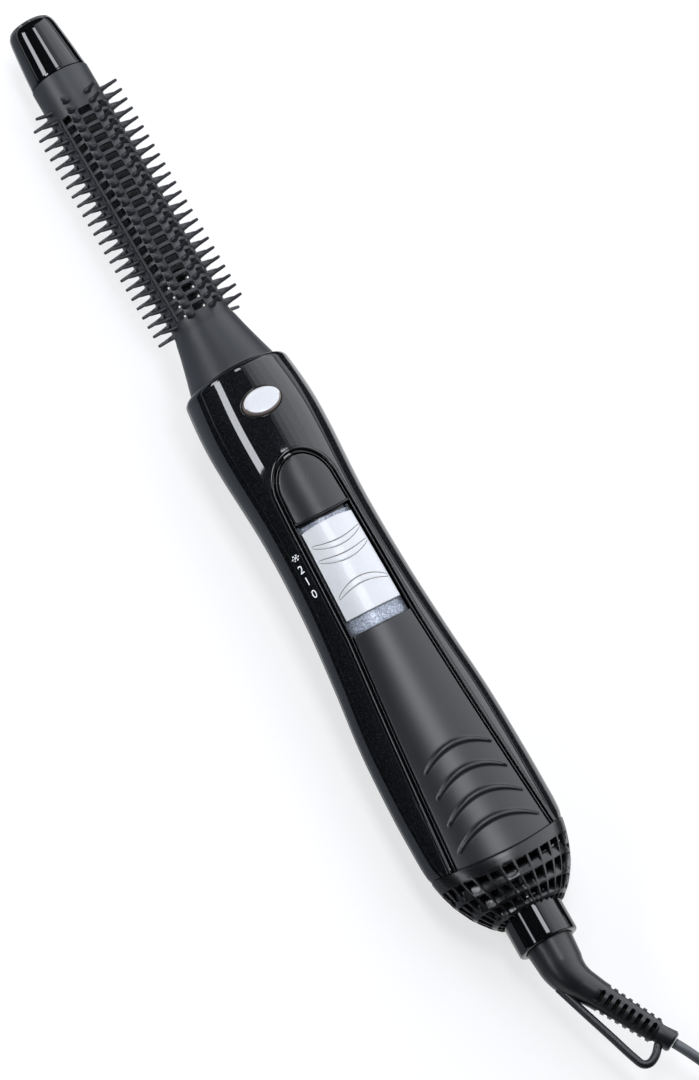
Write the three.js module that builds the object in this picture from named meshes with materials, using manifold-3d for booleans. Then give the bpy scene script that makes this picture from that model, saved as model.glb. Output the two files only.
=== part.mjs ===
// Hot air brush, millimetres, +Z up, lying on its back on a table.
// The tip points to -X and the cord leaves towards +X and +Y. The chord is the straight line from the
// tip's centre to the collar's centre; x is counted from the tip's end and heights from the chord.
// The barrel starts at the tip, the handle at its own mouth and the cord's parts at the collar's end,
// so a longer tip, barrel or cone moves all that comes after it.
import * as THREE from 'three';
import { mergeVertices } from 'three/addons/utils/BufferGeometryUtils.js';
import Module from 'manifold-3d';

const wasm = await Module();
wasm.setup();

// ---------------------------------------------------------------- driving dimensions
const CLEARANCE = 0.3; // between pieces that touch or slide
const CHORD_HEIGHT = 15.2; // of the chord above the table
const RISE_DEG = 3.1; // the brush climbs towards the handle
const BRUSH_START_DROP = 0.6; // the tip's centre below the chord

// cool tip, barrel and cone, along the brush's own axis
const TIP_RADIUS = 7.0;
const TIP_CROWN = 0.7;
const TIP_ROUNDING = 1.3;
const TIP_LENGTH = 20.6;
const TIP_BASE_RADIUS = 9.7;
const TIP_PLUG_LENGTH = 5;
const BARREL_RADIUS = 10.1;
const BARREL_WALL = 1.5;
const BARREL_LENGTH = 98.4;
const BARREL_END = TIP_LENGTH + BARREL_LENGTH;
const PIN_ROWS = 8;
const PINS_PER_ROW = 24;
const PIN_PITCH = 3.6;
const FIRST_PIN = TIP_LENGTH + 10.8;
const PIN_REACH = 16.2; // radius at the pins' tips
const PIN_TIP = 0.8;
const WINDOW_AXIAL = 2.1;
const WINDOW_DEG = 27;
const CONE_RADIUS = 15.8;
const CONE_LENGTH = 19.4;
const CONE_END = BARREL_END + CONE_LENGTH;
const SPIGOT_RADIUS = 12.2;
const SPIGOT_WALL = 1.4;
const SPIGOT_END = CONE_END + 20.6;
const GROOVE_DEPTH = 0.6;
const CORE_RADIUS = 6;
const CORE_WALL = 1;
const CORE_END = BARREL_END - 21.5;
const TIP_SCREW = { head: 2.8, headHeight: 1.8, shank: 1.5, length: 14 };

// handle: where, half width, centre above the chord, crown above and belly below that centre
const MOUTH = CONE_END - 0.7;
const HANDLE = [
  { x: MOUTH, half: 17.3, centre: 7.0, crown: 16.8, belly: 17.0 },
  { x: MOUTH + 2.5, half: 18.7, centre: 7.2, crown: 18.2, belly: 18.3 },
  { x: MOUTH + 20.3, half: 20.0, centre: 7.9, crown: 18.3, belly: 19.0 },
  { x: MOUTH + 53.3, half: 18.7, centre: 7.8, crown: 16.5, belly: 17.6 },
  { x: MOUTH + 81.3, half: 19.4, centre: 6.8, crown: 15.9, belly: 17.0 },
  { x: MOUTH + 104.3, half: 21.2, centre: 4.9, crown: 15.3, belly: 16.9 },
  { x: MOUTH + 128.3, half: 23.6, centre: 2.5, crown: 15.0, belly: 16.9 },
  { x: MOUTH + 152.3, half: 24.6, centre: 1.2, crown: 15.1, belly: 17.8 },
  { x: MOUTH + 168.3, half: 24.7, centre: 1.0, crown: 15.2, belly: 17.5 },
];
const SHELL_WALL = 2.2;
const SEAM_X = MOUTH + 176.5; // where shells and grille meet, at the sides
const SEAM_BOW = 0.018; // the seam's lead towards the cord grows with height squared
const HALF_SIDES = 10; // flats across each half shell

// inlays in the front shell
const INLAY_APEX = MOUTH + 35.3;
const INLAY_SHOULDER = { x: MOUTH + 46.3, half: 9.4 };
const WINDOW_TOP = { x: MOUTH + 55.4, half: 9.8 };
const WINDOW_BOTTOM = { x: MOUTH + 96.7, half: 10.8 };
const INLAY_FOOT = { x: MOUTH + 184.3, half: 17.8 };
const BEZEL_WIDTH = 2.4;
const TRAY_DEPTH = 3.5;
const TRAY_WALL = 1.2;
const INLAY_THICKNESS = 0.9;
const SLIDER = { start: MOUTH + 58.5, end: MOUTH + 91.3, top: 1.2, thickness: 1.0, side: 0.5 };
const TRACK = { top: 2.5, thickness: 0.7, start: MOUTH + 47.8 };
const INLAY_FOOT_GAP = 1.5; // between the upper inlay's thick foot and the track
const CARRIAGE = { x: MOUTH + 74.3, length: 9, width: 5, engaged: 1.4 }; // engaged in the switch
const SWITCH_TO_TIP = 8.8;
const SWITCH_TO_CORD = 4.4;

// release button and latch
const BUTTON = { x: MOUTH + 14.9, long: 8.9, wide: 13.4, proud: 1.2, travel: 1.5 };
const LATCH = { x: MOUTH + 13.1, thickness: 2.6, side: 1.4, top: 0.8, bottom: 1.2 };
const SPRING = { radius: 2.2, wire: 0.4, turns: 2, floor: 1 }; // floor: wall left under its well

// air heater, motor and fan
const HEATER_HEIGHT = 3.1; // their axis above the chord
const LINER = { start: MOUTH + 25.8, end: MOUTH + 71.3, radius: 9.5, wall: 0.5 };
const MICA = { start: MOUTH + 27.3, end: MOUTH + 68.3, thickness: 0.6, tab: 4 };
const HEATER_WIRE = { wire: 0.7, turns: 4, start: MOUTH + 35.3, end: MOUTH + 60.3 };
const THERMOSTAT = { start: MOUTH + 28.3, end: MOUTH + 32.3, width: 2.4, low: 1, high: 6 };
const FUSE = { start: MOUTH + 61.8, end: MOUTH + 67.8, radius: 1.2, height: 3 };
const FAN = { start: MOUTH + 76.3, length: 7, hub: 3.2, reach: 8.4, blades: 6, twistDeg: 35, blade: 0.8 };
const MOTOR = { start: MOUTH + 94.9, length: 20, radius: 10, wall: 1, cap: 4, boss: 3, shaft: 1 };
const ARMATURE = { radius: 7.6, margin: 3 };
const MOUNT = { start: MOUTH + 71.6, end: MOUTH + 93.3, wall: 0.8, ring: 1.5, bars: 4, barWidth: 3 };
const CAGE = { end: MOUTH + 101.3, wall: 1.2 }; // the mount's part that holds the motor
const BOARD = { start: MOUTH + 126.3, end: MOUTH + 156.3, width: 26, thickness: 1.6, low: 2.2 };
const DIODE = { count: 4, radius: 1.35, length: 5, pitch: 6, first: MOUTH + 130.3 };
const LEAD = { start: MOUTH + 151.3, radius: 0.9, spread: 5.9, close: 1.6 };
const RIB = 1.6; // thickness of the ribs that carry the inner parts

// intake grille and collar
const DOME = { centre: MOUTH + 168.3, length: 36, wall: 1.8 };
const DOME_END = DOME.centre + 31.9;
const SLOT_ROWS = [[0.2, 0.53], [0.61, 1]]; // shares of the dome's quarter turn
const SLOTS_AROUND = 28;
const SLOT_SHARE = 0.74; // of the pitch that is open
const COLLAR_RADIUS = 10.4;
const COLLAR_START = DOME.centre + 28;
const COLLAR_END = COLLAR_START + 15.1;
const COLLAR_BORE = 8.35;
const SWIVEL_WALL = { x: COLLAR_START + 4, thickness: 2 };

// strain relief with its hanging loop
const RELIEF_BEND_DEG = 29;
const RELIEF_BEND_X = COLLAR_END + 12;
const RELIEF_BEND_RADIUS = 16;
const RELIEF_RUN = 40.4; // from the bend's corner to the cord's exit
// along the relief from the collar's end, and its radius there
const RELIEF_RADII = [
  [0, 8.05], [8, 7.45], [12.5, 6.6], [17.5, 5.2], [23.2, 4.35],
  [45.5, 3.8], [46.4, 3.5], [51.4, 3.5], [52.2, 2.9],
];
const RELIEF_SIDES = 12;
const NECK = { start: COLLAR_START + 1.5, radius: 5.3, groove: 4.6 };
const CLIP = { x: COLLAR_START + 2.5, radius: 7.4, thickness: 1 };
const RELIEF_SLOTS = { count: 8, first: 24.9, pitch: 2.8, width: 1.3, depth: 1.1, long: 4.6 };
const LOOP_ROD = 1.45;
const LOOP_ROUTE = [
  [14.4, -4.6], [24.6, -1.3], [35.9, 2.5], [45.9, 5.8],
  [49.1, 7.3], [49.8, 9.4], [48.5, 12.2], [45.5, 15],
].map(([x, y]) => [COLLAR_END + x, y]);

// cord: its diameter, the hand chosen route to the coil, and the coil
const CORD_DIAMETER = 3.6;
const CORD_SIDES = 8;
const CORD_FLOOR = 3; // height of the lowest turn's centre: the tie passes under the coil
const COIL = {
  x: COLLAR_END + 97.9, y: 20, inner: 14.4, turns: 13 + 1 / 12, layers: 4, pitch: 4.2, startDeg: 120,
};
const COIL_SIDES = 6;
const COIL_STEPS = 14;
const TIE = { deg: -60, width: 5, thickness: 0.8 };
const PLUG = { x: COLLAR_END + 139.9, y: 33, length: 36, width: 35.3, height: 13.7, neck: 3.4 };
const PLUG_PIN = { radius: 2, length: 19, spacing: 18.6 };

// ---------------------------------------------------------------- helpers
const ROUND = 20; // flats round a large turned piece
const SMALL_ROUND = 16;
const INNER_ROUND = 12;
const rad = THREE.MathUtils.degToRad;
const lerp = THREE.MathUtils.lerp;
const brushPlace = new THREE.Matrix4()
  .makeTranslation(0, 0, -BRUSH_START_DROP)
  .multiply(new THREE.Matrix4().makeRotationY(-rad(RISE_DEG)));

/** A closed geometry becomes a solid that can be cut and joined. */
function solid(geometry) {
  const bare = geometry.clone();
  bare.deleteAttribute('normal');
  bare.deleteAttribute('uv');
  const merged = mergeVertices(bare, 1e-4);
  const result = new wasm.Manifold(new wasm.Mesh({
    numProp: 3,
    vertProperties: new Float32Array(merged.attributes.position.array),
    triVerts: new Uint32Array(merged.index.array),
  }));
  return result;
}

/** A solid becomes a geometry again. */
function shape(body) {
  const mesh = body.getMesh();
  const geometry = new THREE.BufferGeometry();
  geometry.setAttribute('position', new THREE.BufferAttribute(new Float32Array(mesh.vertProperties), 3));
  geometry.setIndex(new THREE.BufferAttribute(new Uint32Array(mesh.triVerts), 1));
  return geometry;
}

/** Points and triangles become a geometry whose faces point outwards. */
function faceted(points, triangles) {
  let volume = 0;
  for (const [a, b, c] of triangles) {
    volume += points[a].dot(new THREE.Vector3().crossVectors(points[b], points[c]));
  }
  const ordered = volume < 0 ? triangles.map(([a, b, c]) => [a, c, b]) : triangles;
  const geometry = new THREE.BufferGeometry().setFromPoints(points);
  geometry.setIndex(ordered.flat());
  return geometry;
}

/** A skin through rings of equally many points, closed flat at both ends. */
function loft(rings, flatten) {
  const count = rings[0].length;
  const triangles = [];
  for (let ring = 0; ring < rings.length - 1; ring += 1) {
    for (let i = 0; i < count; i += 1) {
      const a = ring * count + i;
      const b = ring * count + (i + 1) % count;
      triangles.push([a, b, b + count], [a, b + count, a + count]);
    }
  }
  const cap = (ring, flip) => {
    const outline = rings[ring].map(flatten);
    for (const [a, b, c] of THREE.ShapeUtils.triangulateShape(outline, [])) {
      const face = [a, b, c].map((i) => i + ring * count);
      triangles.push(flip ? face.reverse() : face);
    }
  };
  const first = triangles.length;
  cap(0, true);
  cap(rings.length - 1, false);
  // the caps follow the skin's own direction
  const [p, q] = triangles[0];
  const wanted = triangles.slice(first).some((t) => hasEdge(t, q, p));
  if (!wanted) {
    for (let i = first; i < triangles.length; i += 1) triangles[i].reverse();
  }
  return faceted(rings.flat(), triangles);
}

function hasEdge(triangle, from, to) {
  return triangle.some((corner, i) => corner === from && triangle[(i + 1) % 3] === to);
}

const alongX = (point) => new THREE.Vector2(point.y, point.z);

/** A round tube along a list of points, whose radius may change; square at both ends. */
function roundTube(points, radii, sides) {
  const up = new THREE.Vector3(0, 0, 1);
  const directions = points.map((point, i) => {
    const before = points[Math.max(i - 1, 0)];
    const after = points[Math.min(i + 1, points.length - 1)];
    return after.clone().sub(before).normalize();
  });
  const rings = points.map((point, i) => {
    const across = new THREE.Vector3().crossVectors(up, directions[i]).normalize();
    const rise = new THREE.Vector3().crossVectors(directions[i], across);
    return Array.from({ length: sides }, (_, k) => {
      const angle = 2 * Math.PI * (k + 0.5) / sides;
      return point.clone()
        .addScaledVector(across, radii[i] * Math.cos(angle))
        .addScaledVector(rise, radii[i] * Math.sin(angle));
    });
  });
  const turned = Array.from({ length: sides }, (_, k) => {
    const angle = 2 * Math.PI * (k + 0.5) / sides;
    return new THREE.Vector2(Math.cos(angle), Math.sin(angle));
  });
  let ringIndex = 0;
  return loft(rings, () => turned[ringIndex++ % sides]);
}

/** A solid of revolution about X from [x, radius] pairs that start and end on the axis or close. */
function turned(profile, sides = ROUND) {
  const points = profile.map(([x, radius]) => new THREE.Vector2(radius, x));
  const geometry = new THREE.LatheGeometry(points, sides);
  geometry.rotateZ(-Math.PI / 2);
  return faceAgain(geometry);
}

function faceAgain(geometry) {
  const bare = geometry.clone();
  bare.deleteAttribute('normal');
  bare.deleteAttribute('uv');
  const merged = mergeVertices(bare, 1e-4);
  const position = merged.attributes.position;
  const points = Array.from({ length: position.count }, (_, i) => (
    new THREE.Vector3().fromBufferAttribute(position, i)));
  const triangles = [];
  for (let i = 0; i < merged.index.count; i += 3) {
    const face = [0, 1, 2].map((k) => merged.index.getX(i + k));
    if (new Set(face).size === 3) triangles.push(face);
  }
  return faceted(points, triangles);
}

/** A straight tube about X, made as a closed profile. */
function sleeve(start, end, outer, inner, sides = SMALL_ROUND) {
  return turned([[start, inner], [start, outer], [end, outer], [end, inner], [start, inner]], sides);
}

function rod(start, end, radius, sides = SMALL_ROUND) {
  return turned([[start, 0], [start, radius], [end, radius], [end, 0]], sides);
}

function extruded(outline, depth, curveSegments = 1) {
  return new THREE.ExtrudeGeometry(outline, { depth, bevelEnabled: false, curveSegments });
}

function box(x0, x1, y0, y1, z0, z1) {
  const geometry = new THREE.BoxGeometry(x1 - x0, y1 - y0, z1 - z0);
  geometry.translate((x0 + x1) / 2, (y0 + y1) / 2, (z0 + z1) / 2);
  return geometry;
}

/** A wall made of the cells of a grid: present cells have two faces, and open cells get walls.
 * A cell may carry a spike, given by the two points of its top edge. */
function gridWall(columns, rows, outer, inner, present, spike = () => null) {
  const points = [];
  for (const side of [outer, inner]) {
    for (let row = 0; row <= rows; row += 1) {
      for (let column = 0; column < columns; column += 1) points.push(side(column, row));
    }
  }
  const at = (side, column, row) => (side * (rows + 1) + row) * columns + (column + columns) % columns;
  const there = (column, row) => row >= 0 && row < rows && present((column + columns) % columns, row);
  const triangles = [];
  const quad = (a, b, c, d) => triangles.push([a, b, c], [a, c, d]);
  // the wall of an open cell, between two grid corners of the outer face and the same two of the inner
  const side = ([c0, r0], [c1, r1]) => quad(at(0, c0, r0), at(1, c0, r0), at(1, c1, r1), at(0, c1, r1));
  for (let row = 0; row < rows; row += 1) {
    for (let column = 0; column < columns; column += 1) {
      if (!there(column, row)) continue;
      const cell = [[column, row], [column + 1, row], [column + 1, row + 1], [column, row + 1]];
      const [a, b, c, d] = cell.map(([i, j]) => at(0, i, j));
      const [e, f, g, h] = cell.map(([i, j]) => at(1, i, j));
      const top = spike(column, row);
      if (top) {
        const [p, q] = [points.length, points.length + 1];
        points.push(...top);
        triangles.push([a, b, q], [a, q, p], [b, c, q], [c, d, p], [c, p, q], [d, a, p]);
      } else {
        quad(a, b, c, d);
      }
      quad(e, h, g, f);
      if (!there(column, row - 1)) side(cell[0], cell[1]);
      if (!there(column + 1, row)) side(cell[1], cell[2]);
      if (!there(column, row + 1)) side(cell[2], cell[3]);
      if (!there(column - 1, row)) side(cell[3], cell[0]);
    }
  }
  const geometry = faceted(points, triangles);
  return faceAgain(geometry.toNonIndexed());
}

const root = new THREE.Group();
const brush = new THREE.Group();
brush.applyMatrix4(brushPlace);
root.add(brush);

const finishes = {
  satin: new THREE.MeshStandardMaterial({ color: 0x303338, roughness: 0.5, metalness: 0 }),
  gloss: new THREE.MeshStandardMaterial({ color: 0x08090b, roughness: 0.12, metalness: 0 }),
  inlay: new THREE.MeshStandardMaterial({ color: 0x3a3d42, roughness: 0.45, metalness: 0 }),
  pearl: new THREE.MeshStandardMaterial({ color: 0xdfe3e8, roughness: 0.3, metalness: 0.1 }),
  track: new THREE.MeshStandardMaterial({ color: 0xaeb6c4, roughness: 0.35, metalness: 0.6 }),
  steel: new THREE.MeshStandardMaterial({ color: 0xb9bcc0, roughness: 0.3, metalness: 1 }),
  mica: new THREE.MeshStandardMaterial({ color: 0xb9a27c, roughness: 0.6, metalness: 0 }),
  board: new THREE.MeshStandardMaterial({ color: 0x8a6a35, roughness: 0.6, metalness: 0 }),
  brass: new THREE.MeshStandardMaterial({ color: 0xc9a24b, roughness: 0.3, metalness: 1 }),
  rubber: new THREE.MeshStandardMaterial({ color: 0x1c1d20, roughness: 0.6, metalness: 0 }),
  white: new THREE.MeshStandardMaterial({ color: 0xd8d8d4, roughness: 0.4, metalness: 0 }),
};

function add(parent, name, geometry, finish) {
  geometry.computeVertexNormals();
  const mesh = new THREE.Mesh(geometry, finishes[finish]);
  mesh.name = name;
  parent.add(mesh);
  return mesh;
}

// ---------------------------------------------------------------- brush head
const TIP_JOINT = TIP_LENGTH; // the tip's shoulder meets the barrel's end here
const PLUG_RADIUS = BARREL_RADIUS - BARREL_WALL - CLEARANCE;

function coolTip() {
  const body = solid(turned([
    [-TIP_CROWN, 0],
    [-TIP_CROWN * 0.6, TIP_RADIUS - TIP_ROUNDING - 1.5],
    [0, TIP_RADIUS - TIP_ROUNDING],
    [TIP_ROUNDING * 0.4, TIP_RADIUS - TIP_ROUNDING * 0.3],
    [TIP_ROUNDING, TIP_RADIUS],
    [TIP_LENGTH * 0.18, TIP_RADIUS + 1.15],
    [TIP_LENGTH * 0.55, TIP_RADIUS + 2.1],
    [TIP_LENGTH, TIP_BASE_RADIUS],
    [TIP_LENGTH, PLUG_RADIUS],
    [TIP_LENGTH + TIP_PLUG_LENGTH, PLUG_RADIUS],
    [TIP_LENGTH + TIP_PLUG_LENGTH, 0],
  ]));
  const pilot = TIP_SCREW.shank + CLEARANCE;
  const bore = solid(rod(CORE_START - TIP_SCREW.length, CORE_START + 1, pilot, INNER_ROUND));
  return shape(body.subtract(bore));
}

const CORE_START = TIP_LENGTH + TIP_PLUG_LENGTH + CLEARANCE;
const CORE_FLOOR = 2;

function airGuideCore() {
  return turned([
    [CORE_START, TIP_SCREW.shank + CLEARANCE],
    [CORE_START, CORE_RADIUS],
    [CORE_END, CORE_RADIUS],
    [CORE_END, CORE_RADIUS - CORE_WALL],
    [CORE_START + CORE_FLOOR, CORE_RADIUS - CORE_WALL],
    [CORE_START + CORE_FLOOR, TIP_SCREW.shank + CLEARANCE],
    [CORE_START, TIP_SCREW.shank + CLEARANCE],
  ], INNER_ROUND);
}

function tipScrew() {
  const seat = CORE_START + CORE_FLOOR + CLEARANCE;
  return turned([
    [seat - TIP_SCREW.length + CLEARANCE, 0],
    [seat - TIP_SCREW.length + CLEARANCE, TIP_SCREW.shank],
    [seat, TIP_SCREW.shank],
    [seat, TIP_SCREW.head],
    [seat + TIP_SCREW.headHeight, TIP_SCREW.head * 0.8],
    [seat + TIP_SCREW.headHeight, 0],
  ], 12);
}

/** Row edges of the barrel: every second row is a ring of pins, and windows lie between the rings. */
function barrelRowEdges() {
  const half = (PIN_PITCH - WINDOW_AXIAL) / 2;
  const rings = Array.from({ length: PINS_PER_ROW }, (_, i) => FIRST_PIN + i * PIN_PITCH);
  return [TIP_JOINT + CLEARANCE, ...rings.flatMap((x) => [x - half, x + half]), BARREL_END];
}

function barrel() {
  const edges = barrelRowEdges();
  const pitch = 360 / PIN_ROWS;
  const around = Array.from({ length: 2 * PIN_ROWS }, (_, i) => {
    const column = Math.floor(i / 2) * pitch;
    return rad(90 + column + (i % 2 === 0 ? -WINDOW_DEG / 2 : WINDOW_DEG / 2));
  });
  const skin = (radius) => (column, row) => new THREE.Vector3(
    edges[row],
    radius * Math.cos(around[column]),
    radius * Math.sin(around[column]),
  );
  const isWindow = (column, row) => column % 2 === 0 && row % 2 === 0 && row > 2 && row < edges.length - 3;
  const pinTip = (column, row) => {
    if (column % 2 === 0 || row % 2 === 0) return null;
    const middle = (around[column] + around[column - 1] + rad(pitch)) / 2;
    return [-1, 1].map((side) => new THREE.Vector3(
      (edges[row] + edges[row + 1]) / 2,
      PIN_REACH * Math.cos(middle) - side * Math.sin(middle) * PIN_TIP / 2,
      PIN_REACH * Math.sin(middle) + side * Math.cos(middle) * PIN_TIP / 2,
    ));
  };
  return gridWall(
    around.length,
    edges.length - 1,
    skin(BARREL_RADIUS),
    skin(BARREL_RADIUS - BARREL_WALL),
    (column, row) => !isWindow(column, row),
    pinTip,
  );
}

function brushCone() {
  const start = BARREL_END + CLEARANCE;
  const mouth = BARREL_RADIUS - BARREL_WALL - CLEARANCE;
  const overlap = 3.2;
  const flare = Array.from({ length: 6 }, (_, i) => {
    const t = i / 5;
    return [lerp(start, CONE_END, t), lerp(BARREL_RADIUS, CONE_RADIUS, t ** 1.55)];
  });
  const grooveX = LATCH.x - CLEARANCE;
  return turned([
    [start - overlap, mouth - 1.2],
    [start - overlap, mouth],
    [start, mouth],
    ...flare,
    [CONE_END, SPIGOT_RADIUS],
    [grooveX, SPIGOT_RADIUS],
    [grooveX, SPIGOT_RADIUS - GROOVE_DEPTH],
    [grooveX + LATCH.thickness + 2 * CLEARANCE, SPIGOT_RADIUS - GROOVE_DEPTH],
    [grooveX + LATCH.thickness + 2 * CLEARANCE, SPIGOT_RADIUS],
    [SPIGOT_END, SPIGOT_RADIUS],
    [SPIGOT_END, SPIGOT_RADIUS - SPIGOT_WALL],
    [CONE_END - 2, SPIGOT_RADIUS - SPIGOT_WALL],
    [start + 3, mouth - 1.2],
    [start - overlap, mouth - 1.2],
  ]);
}

add(brush, 'cool_tip', coolTip(), 'gloss');
add(brush, 'air_guide_core', airGuideCore(), 'rubber');
add(brush, 'tip_screw', tipScrew(), 'steel');
add(brush, 'brush_barrel', barrel(), 'satin');
add(brush, 'brush_cone', brushCone(), 'satin');

// ---------------------------------------------------------------- the handle's surface
/** A size of the handle at x, on a smooth curve through the stations. */
function handleSize(x, key) {
  const last = HANDLE.length - 1;
  const clamped = Math.min(Math.max(x, HANDLE[0].x), HANDLE[last].x);
  const i = Math.min(HANDLE.findLastIndex((station) => station.x <= clamped), last - 1);
  const slope = (k) => {
    const before = HANDLE[Math.max(k - 1, 0)];
    const after = HANDLE[Math.min(k + 1, last)];
    return (after[key] - before[key]) / (after.x - before.x);
  };
  const span = HANDLE[i + 1].x - HANDLE[i].x;
  const t = (clamped - HANDLE[i].x) / span;
  const smoothing = i === 0 ? 0 : 1; // the lip at the mouth is turned sharply
  const m0 = smoothing * slope(i) * span;
  const m1 = slope(i + 1) * span * (i === 0 ? 0 : 1);
  const a = HANDLE[i][key];
  const b = HANDLE[i + 1][key];
  return (2 * t ** 3 - 3 * t ** 2 + 1) * a + (t ** 3 - 2 * t ** 2 + t) * m0
    + (3 * t ** 2 - 2 * t ** 3) * b + (t ** 3 - t ** 2) * m1;
}

const domeRound = (x) => Math.sqrt(Math.max(0, 1 - (Math.max(x - DOME.centre, 0) / DOME.length) ** 2));
const COLLAR_MEETS = COLLAR_RADIUS / HANDLE.at(-1).half; // the dome's share where the collar takes over

/** How much of the full section is left at x: 1 on the handle, 0 where the dome meets the collar. */
function fullness(x) {
  return Math.max(0, (domeRound(x) - COLLAR_MEETS) / (1 - COLLAR_MEETS));
}

/** A point of the outer surface, or one moved inwards by inset. */
function skinPoint(x, angle, inset = 0) {
  const full = fullness(x);
  const centre = handleSize(x, 'centre') * full;
  const size = (key) => COLLAR_RADIUS + (handleSize(x, key) - COLLAR_RADIUS) * full - inset;
  const height = Math.sin(angle) * (Math.sin(angle) >= 0 ? size('crown') : size('belly'));
  const z = Math.max(centre + height, inset - CHORD_HEIGHT);
  return new THREE.Vector3(x, Math.cos(angle) * size('half'), z);
}

const seamAt = (z) => SEAM_X + SEAM_BOW * Math.max(z, 0) ** 2;

/** A point whose place along the handle is a share of the way from the mouth to the bowed seam. */
function shellPoint(share, angle, inset) {
  let x = lerp(HANDLE[0].x, SEAM_X, share);
  for (let i = 0; i < 4; i += 1) {
    x = lerp(HANDLE[0].x, seamAt(skinPoint(x, angle).z) - CLEARANCE / 2, share);
  }
  return skinPoint(x, angle, inset);
}

const OUTSIDE = 6; // how far cutting tools reach outside the handle
const FAR = 40; // past the handle's outside everywhere
const SHELL_SHARES = [0, 0.014, 0.115, 0.25, 0.38, 0.54, 0.7, 0.86, 0.94, 1];

/** The points across one half shell, front (+1) or back (-1), that keep clear of the other half. */
function halfArc(half, share, inset) {
  return Array.from({ length: HALF_SIDES + 1 }, (_, i) => {
    const point = shellPoint(share, half * Math.PI * i / HALF_SIDES, inset);
    if (i === 0 || i === HALF_SIDES) point.z += half * CLEARANCE / 2;
    return point;
  });
}

/** A layer of one half shell between two depths below its outer surface. */
function shellLayer(half, top, bottom, shares = SHELL_SHARES) {
  return solid(loft(shares.map((share) => [
    ...halfArc(half, share, top),
    ...halfArc(half, share, bottom).reverse(),
  ]), alongX));
}

/** The room outside a depth of the front shell, past its seam too, for cutting away. */
const above = (depth) => shellLayer(1, -OUTSIDE, depth, [...SHELL_SHARES, 1.04]);

/** A solid half of the handle, moved inwards by inset, for trimming what stands on a shell. */
function halfBlock(half, inset) {
  return solid(loft(SHELL_SHARES.map((share) => halfArc(half, share, inset)), alongX));
}

/** The inlays' half width at x, round at its top. */
function inlayHalf(x) {
  if (x < INLAY_SHOULDER.x) {
    const t = (INLAY_SHOULDER.x - x) / (INLAY_SHOULDER.x - INLAY_APEX);
    return INLAY_SHOULDER.half * Math.sqrt(Math.max(0, 1 - t * t));
  }
  const marks = [INLAY_SHOULDER, WINDOW_TOP, WINDOW_BOTTOM, INLAY_FOOT];
  const i = x < WINDOW_TOP.x ? 0 : x < WINDOW_BOTTOM.x ? 1 : 2;
  return lerp(marks[i].half, marks[i + 1].half, (x - marks[i].x) / (marks[i + 1].x - marks[i].x));
}

const ARCH_STEPS = 6;

/** An upright prism over part of the inlays' outline, grown by offset. */
function inlayPrism(start, end, offset) {
  const marks = [];
  if (start < INLAY_SHOULDER.x) {
    for (let i = 0; i < ARCH_STEPS; i += 1) {
      const turn = rad(90 * i / ARCH_STEPS);
      const long = INLAY_SHOULDER.x - INLAY_APEX + offset;
      marks.push([INLAY_SHOULDER.x - long * Math.cos(turn), (INLAY_SHOULDER.half + offset) * Math.sin(turn)]);
    }
  } else {
    marks.push([start, inlayHalf(start) + offset]);
  }
  for (const mark of [INLAY_SHOULDER, WINDOW_TOP, WINDOW_BOTTOM]) {
    if (mark.x > start && mark.x < end) marks.push([mark.x, mark.half + offset]);
  }
  marks.push([end, inlayHalf(end) + offset]);
  const outline = new THREE.Shape();
  outline.moveTo(marks[0][0], marks[0][1]);
  marks.slice(1).forEach(([x, y]) => outline.lineTo(x, y));
  [...marks].reverse().forEach(([x, y]) => {
    if (y > 0.01) outline.lineTo(x, -y);
  });
  const prism = extruded(outline, FAR);
  prism.translate(0, 0, 1);
  return solid(faceAgain(prism));
}

const onBrush = (geometry) => geometry.applyMatrix4(brushPlace);
const onHeater = (geometry) => geometry.translate(0, 0, HEATER_HEIGHT);
const brushHeight = (x) => x * Math.tan(rad(RISE_DEG)) - BRUSH_START_DROP;

function ovalPrism(grow, low, high) {
  const outline = new THREE.Shape();
  outline.absellipse(0, 0, BUTTON.long / 2 + grow, BUTTON.wide / 2 + grow, 0, 2 * Math.PI);
  const prism = extruded(outline, high - low, 10);
  prism.translate(BUTTON.x, 0, low);
  return solid(faceAgain(prism));
}

const PAD = 4;
const SPIGOT_RIBS = [MOUTH + 4.3, MOUTH + 18.8];
const MOTOR_END = MOTOR.start + MOTOR.length;
const CAGE_RADIUS = MOTOR.radius + CLEARANCE + CAGE.wall;

/** The ribs inside a shell that carry the spigot, the liner and the motor. */
function ribs(half) {
  const block = halfBlock(half, SHELL_WALL / 2);
  const slab = (x) => block.intersect(solid(box(x, x + RIB, -FAR, FAR, -FAR, FAR)));
  const cross = (x) => solid(box(x, x + RIB, -FAR, FAR, HEATER_HEIGHT - PAD, HEATER_HEIGHT + PAD))
    .add(solid(box(x, x + RIB, -PAD, PAD, -FAR, FAR)));
  const hole = (x, radius, place, sides) => solid(place(rod(x - 1, x + RIB + 1, radius, sides)));
  return [
    ...SPIGOT_RIBS.map((x) => slab(x).subtract(hole(x, SPIGOT_RADIUS + CLEARANCE, onBrush, ROUND))),
    ...[LINER.start + 2, LINER.end - 6].map((x) => (
      slab(x).subtract(hole(x, LINER.radius + CLEARANCE, onHeater, SMALL_ROUND)))),
    slab(CAGE.end - RIB).intersect(cross(CAGE.end - RIB))
      .subtract(hole(CAGE.end - RIB, CAGE_RADIUS + CLEARANCE, onHeater, SMALL_ROUND)),
  ];
}

const mouthBore = () => solid(onBrush(rod(HANDLE[0].x - 5, HANDLE[0].x + 3, CONE_RADIUS + CLEARANCE)));

/** An upright round post on the handle's middle line. */
function upright(x, radius, low, high, sides = 12) {
  const post = new THREE.CylinderGeometry(radius, radius, high - low, sides);
  post.rotateX(Math.PI / 2);
  post.translate(x, 0, (low + high) / 2);
  return post;
}

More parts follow.
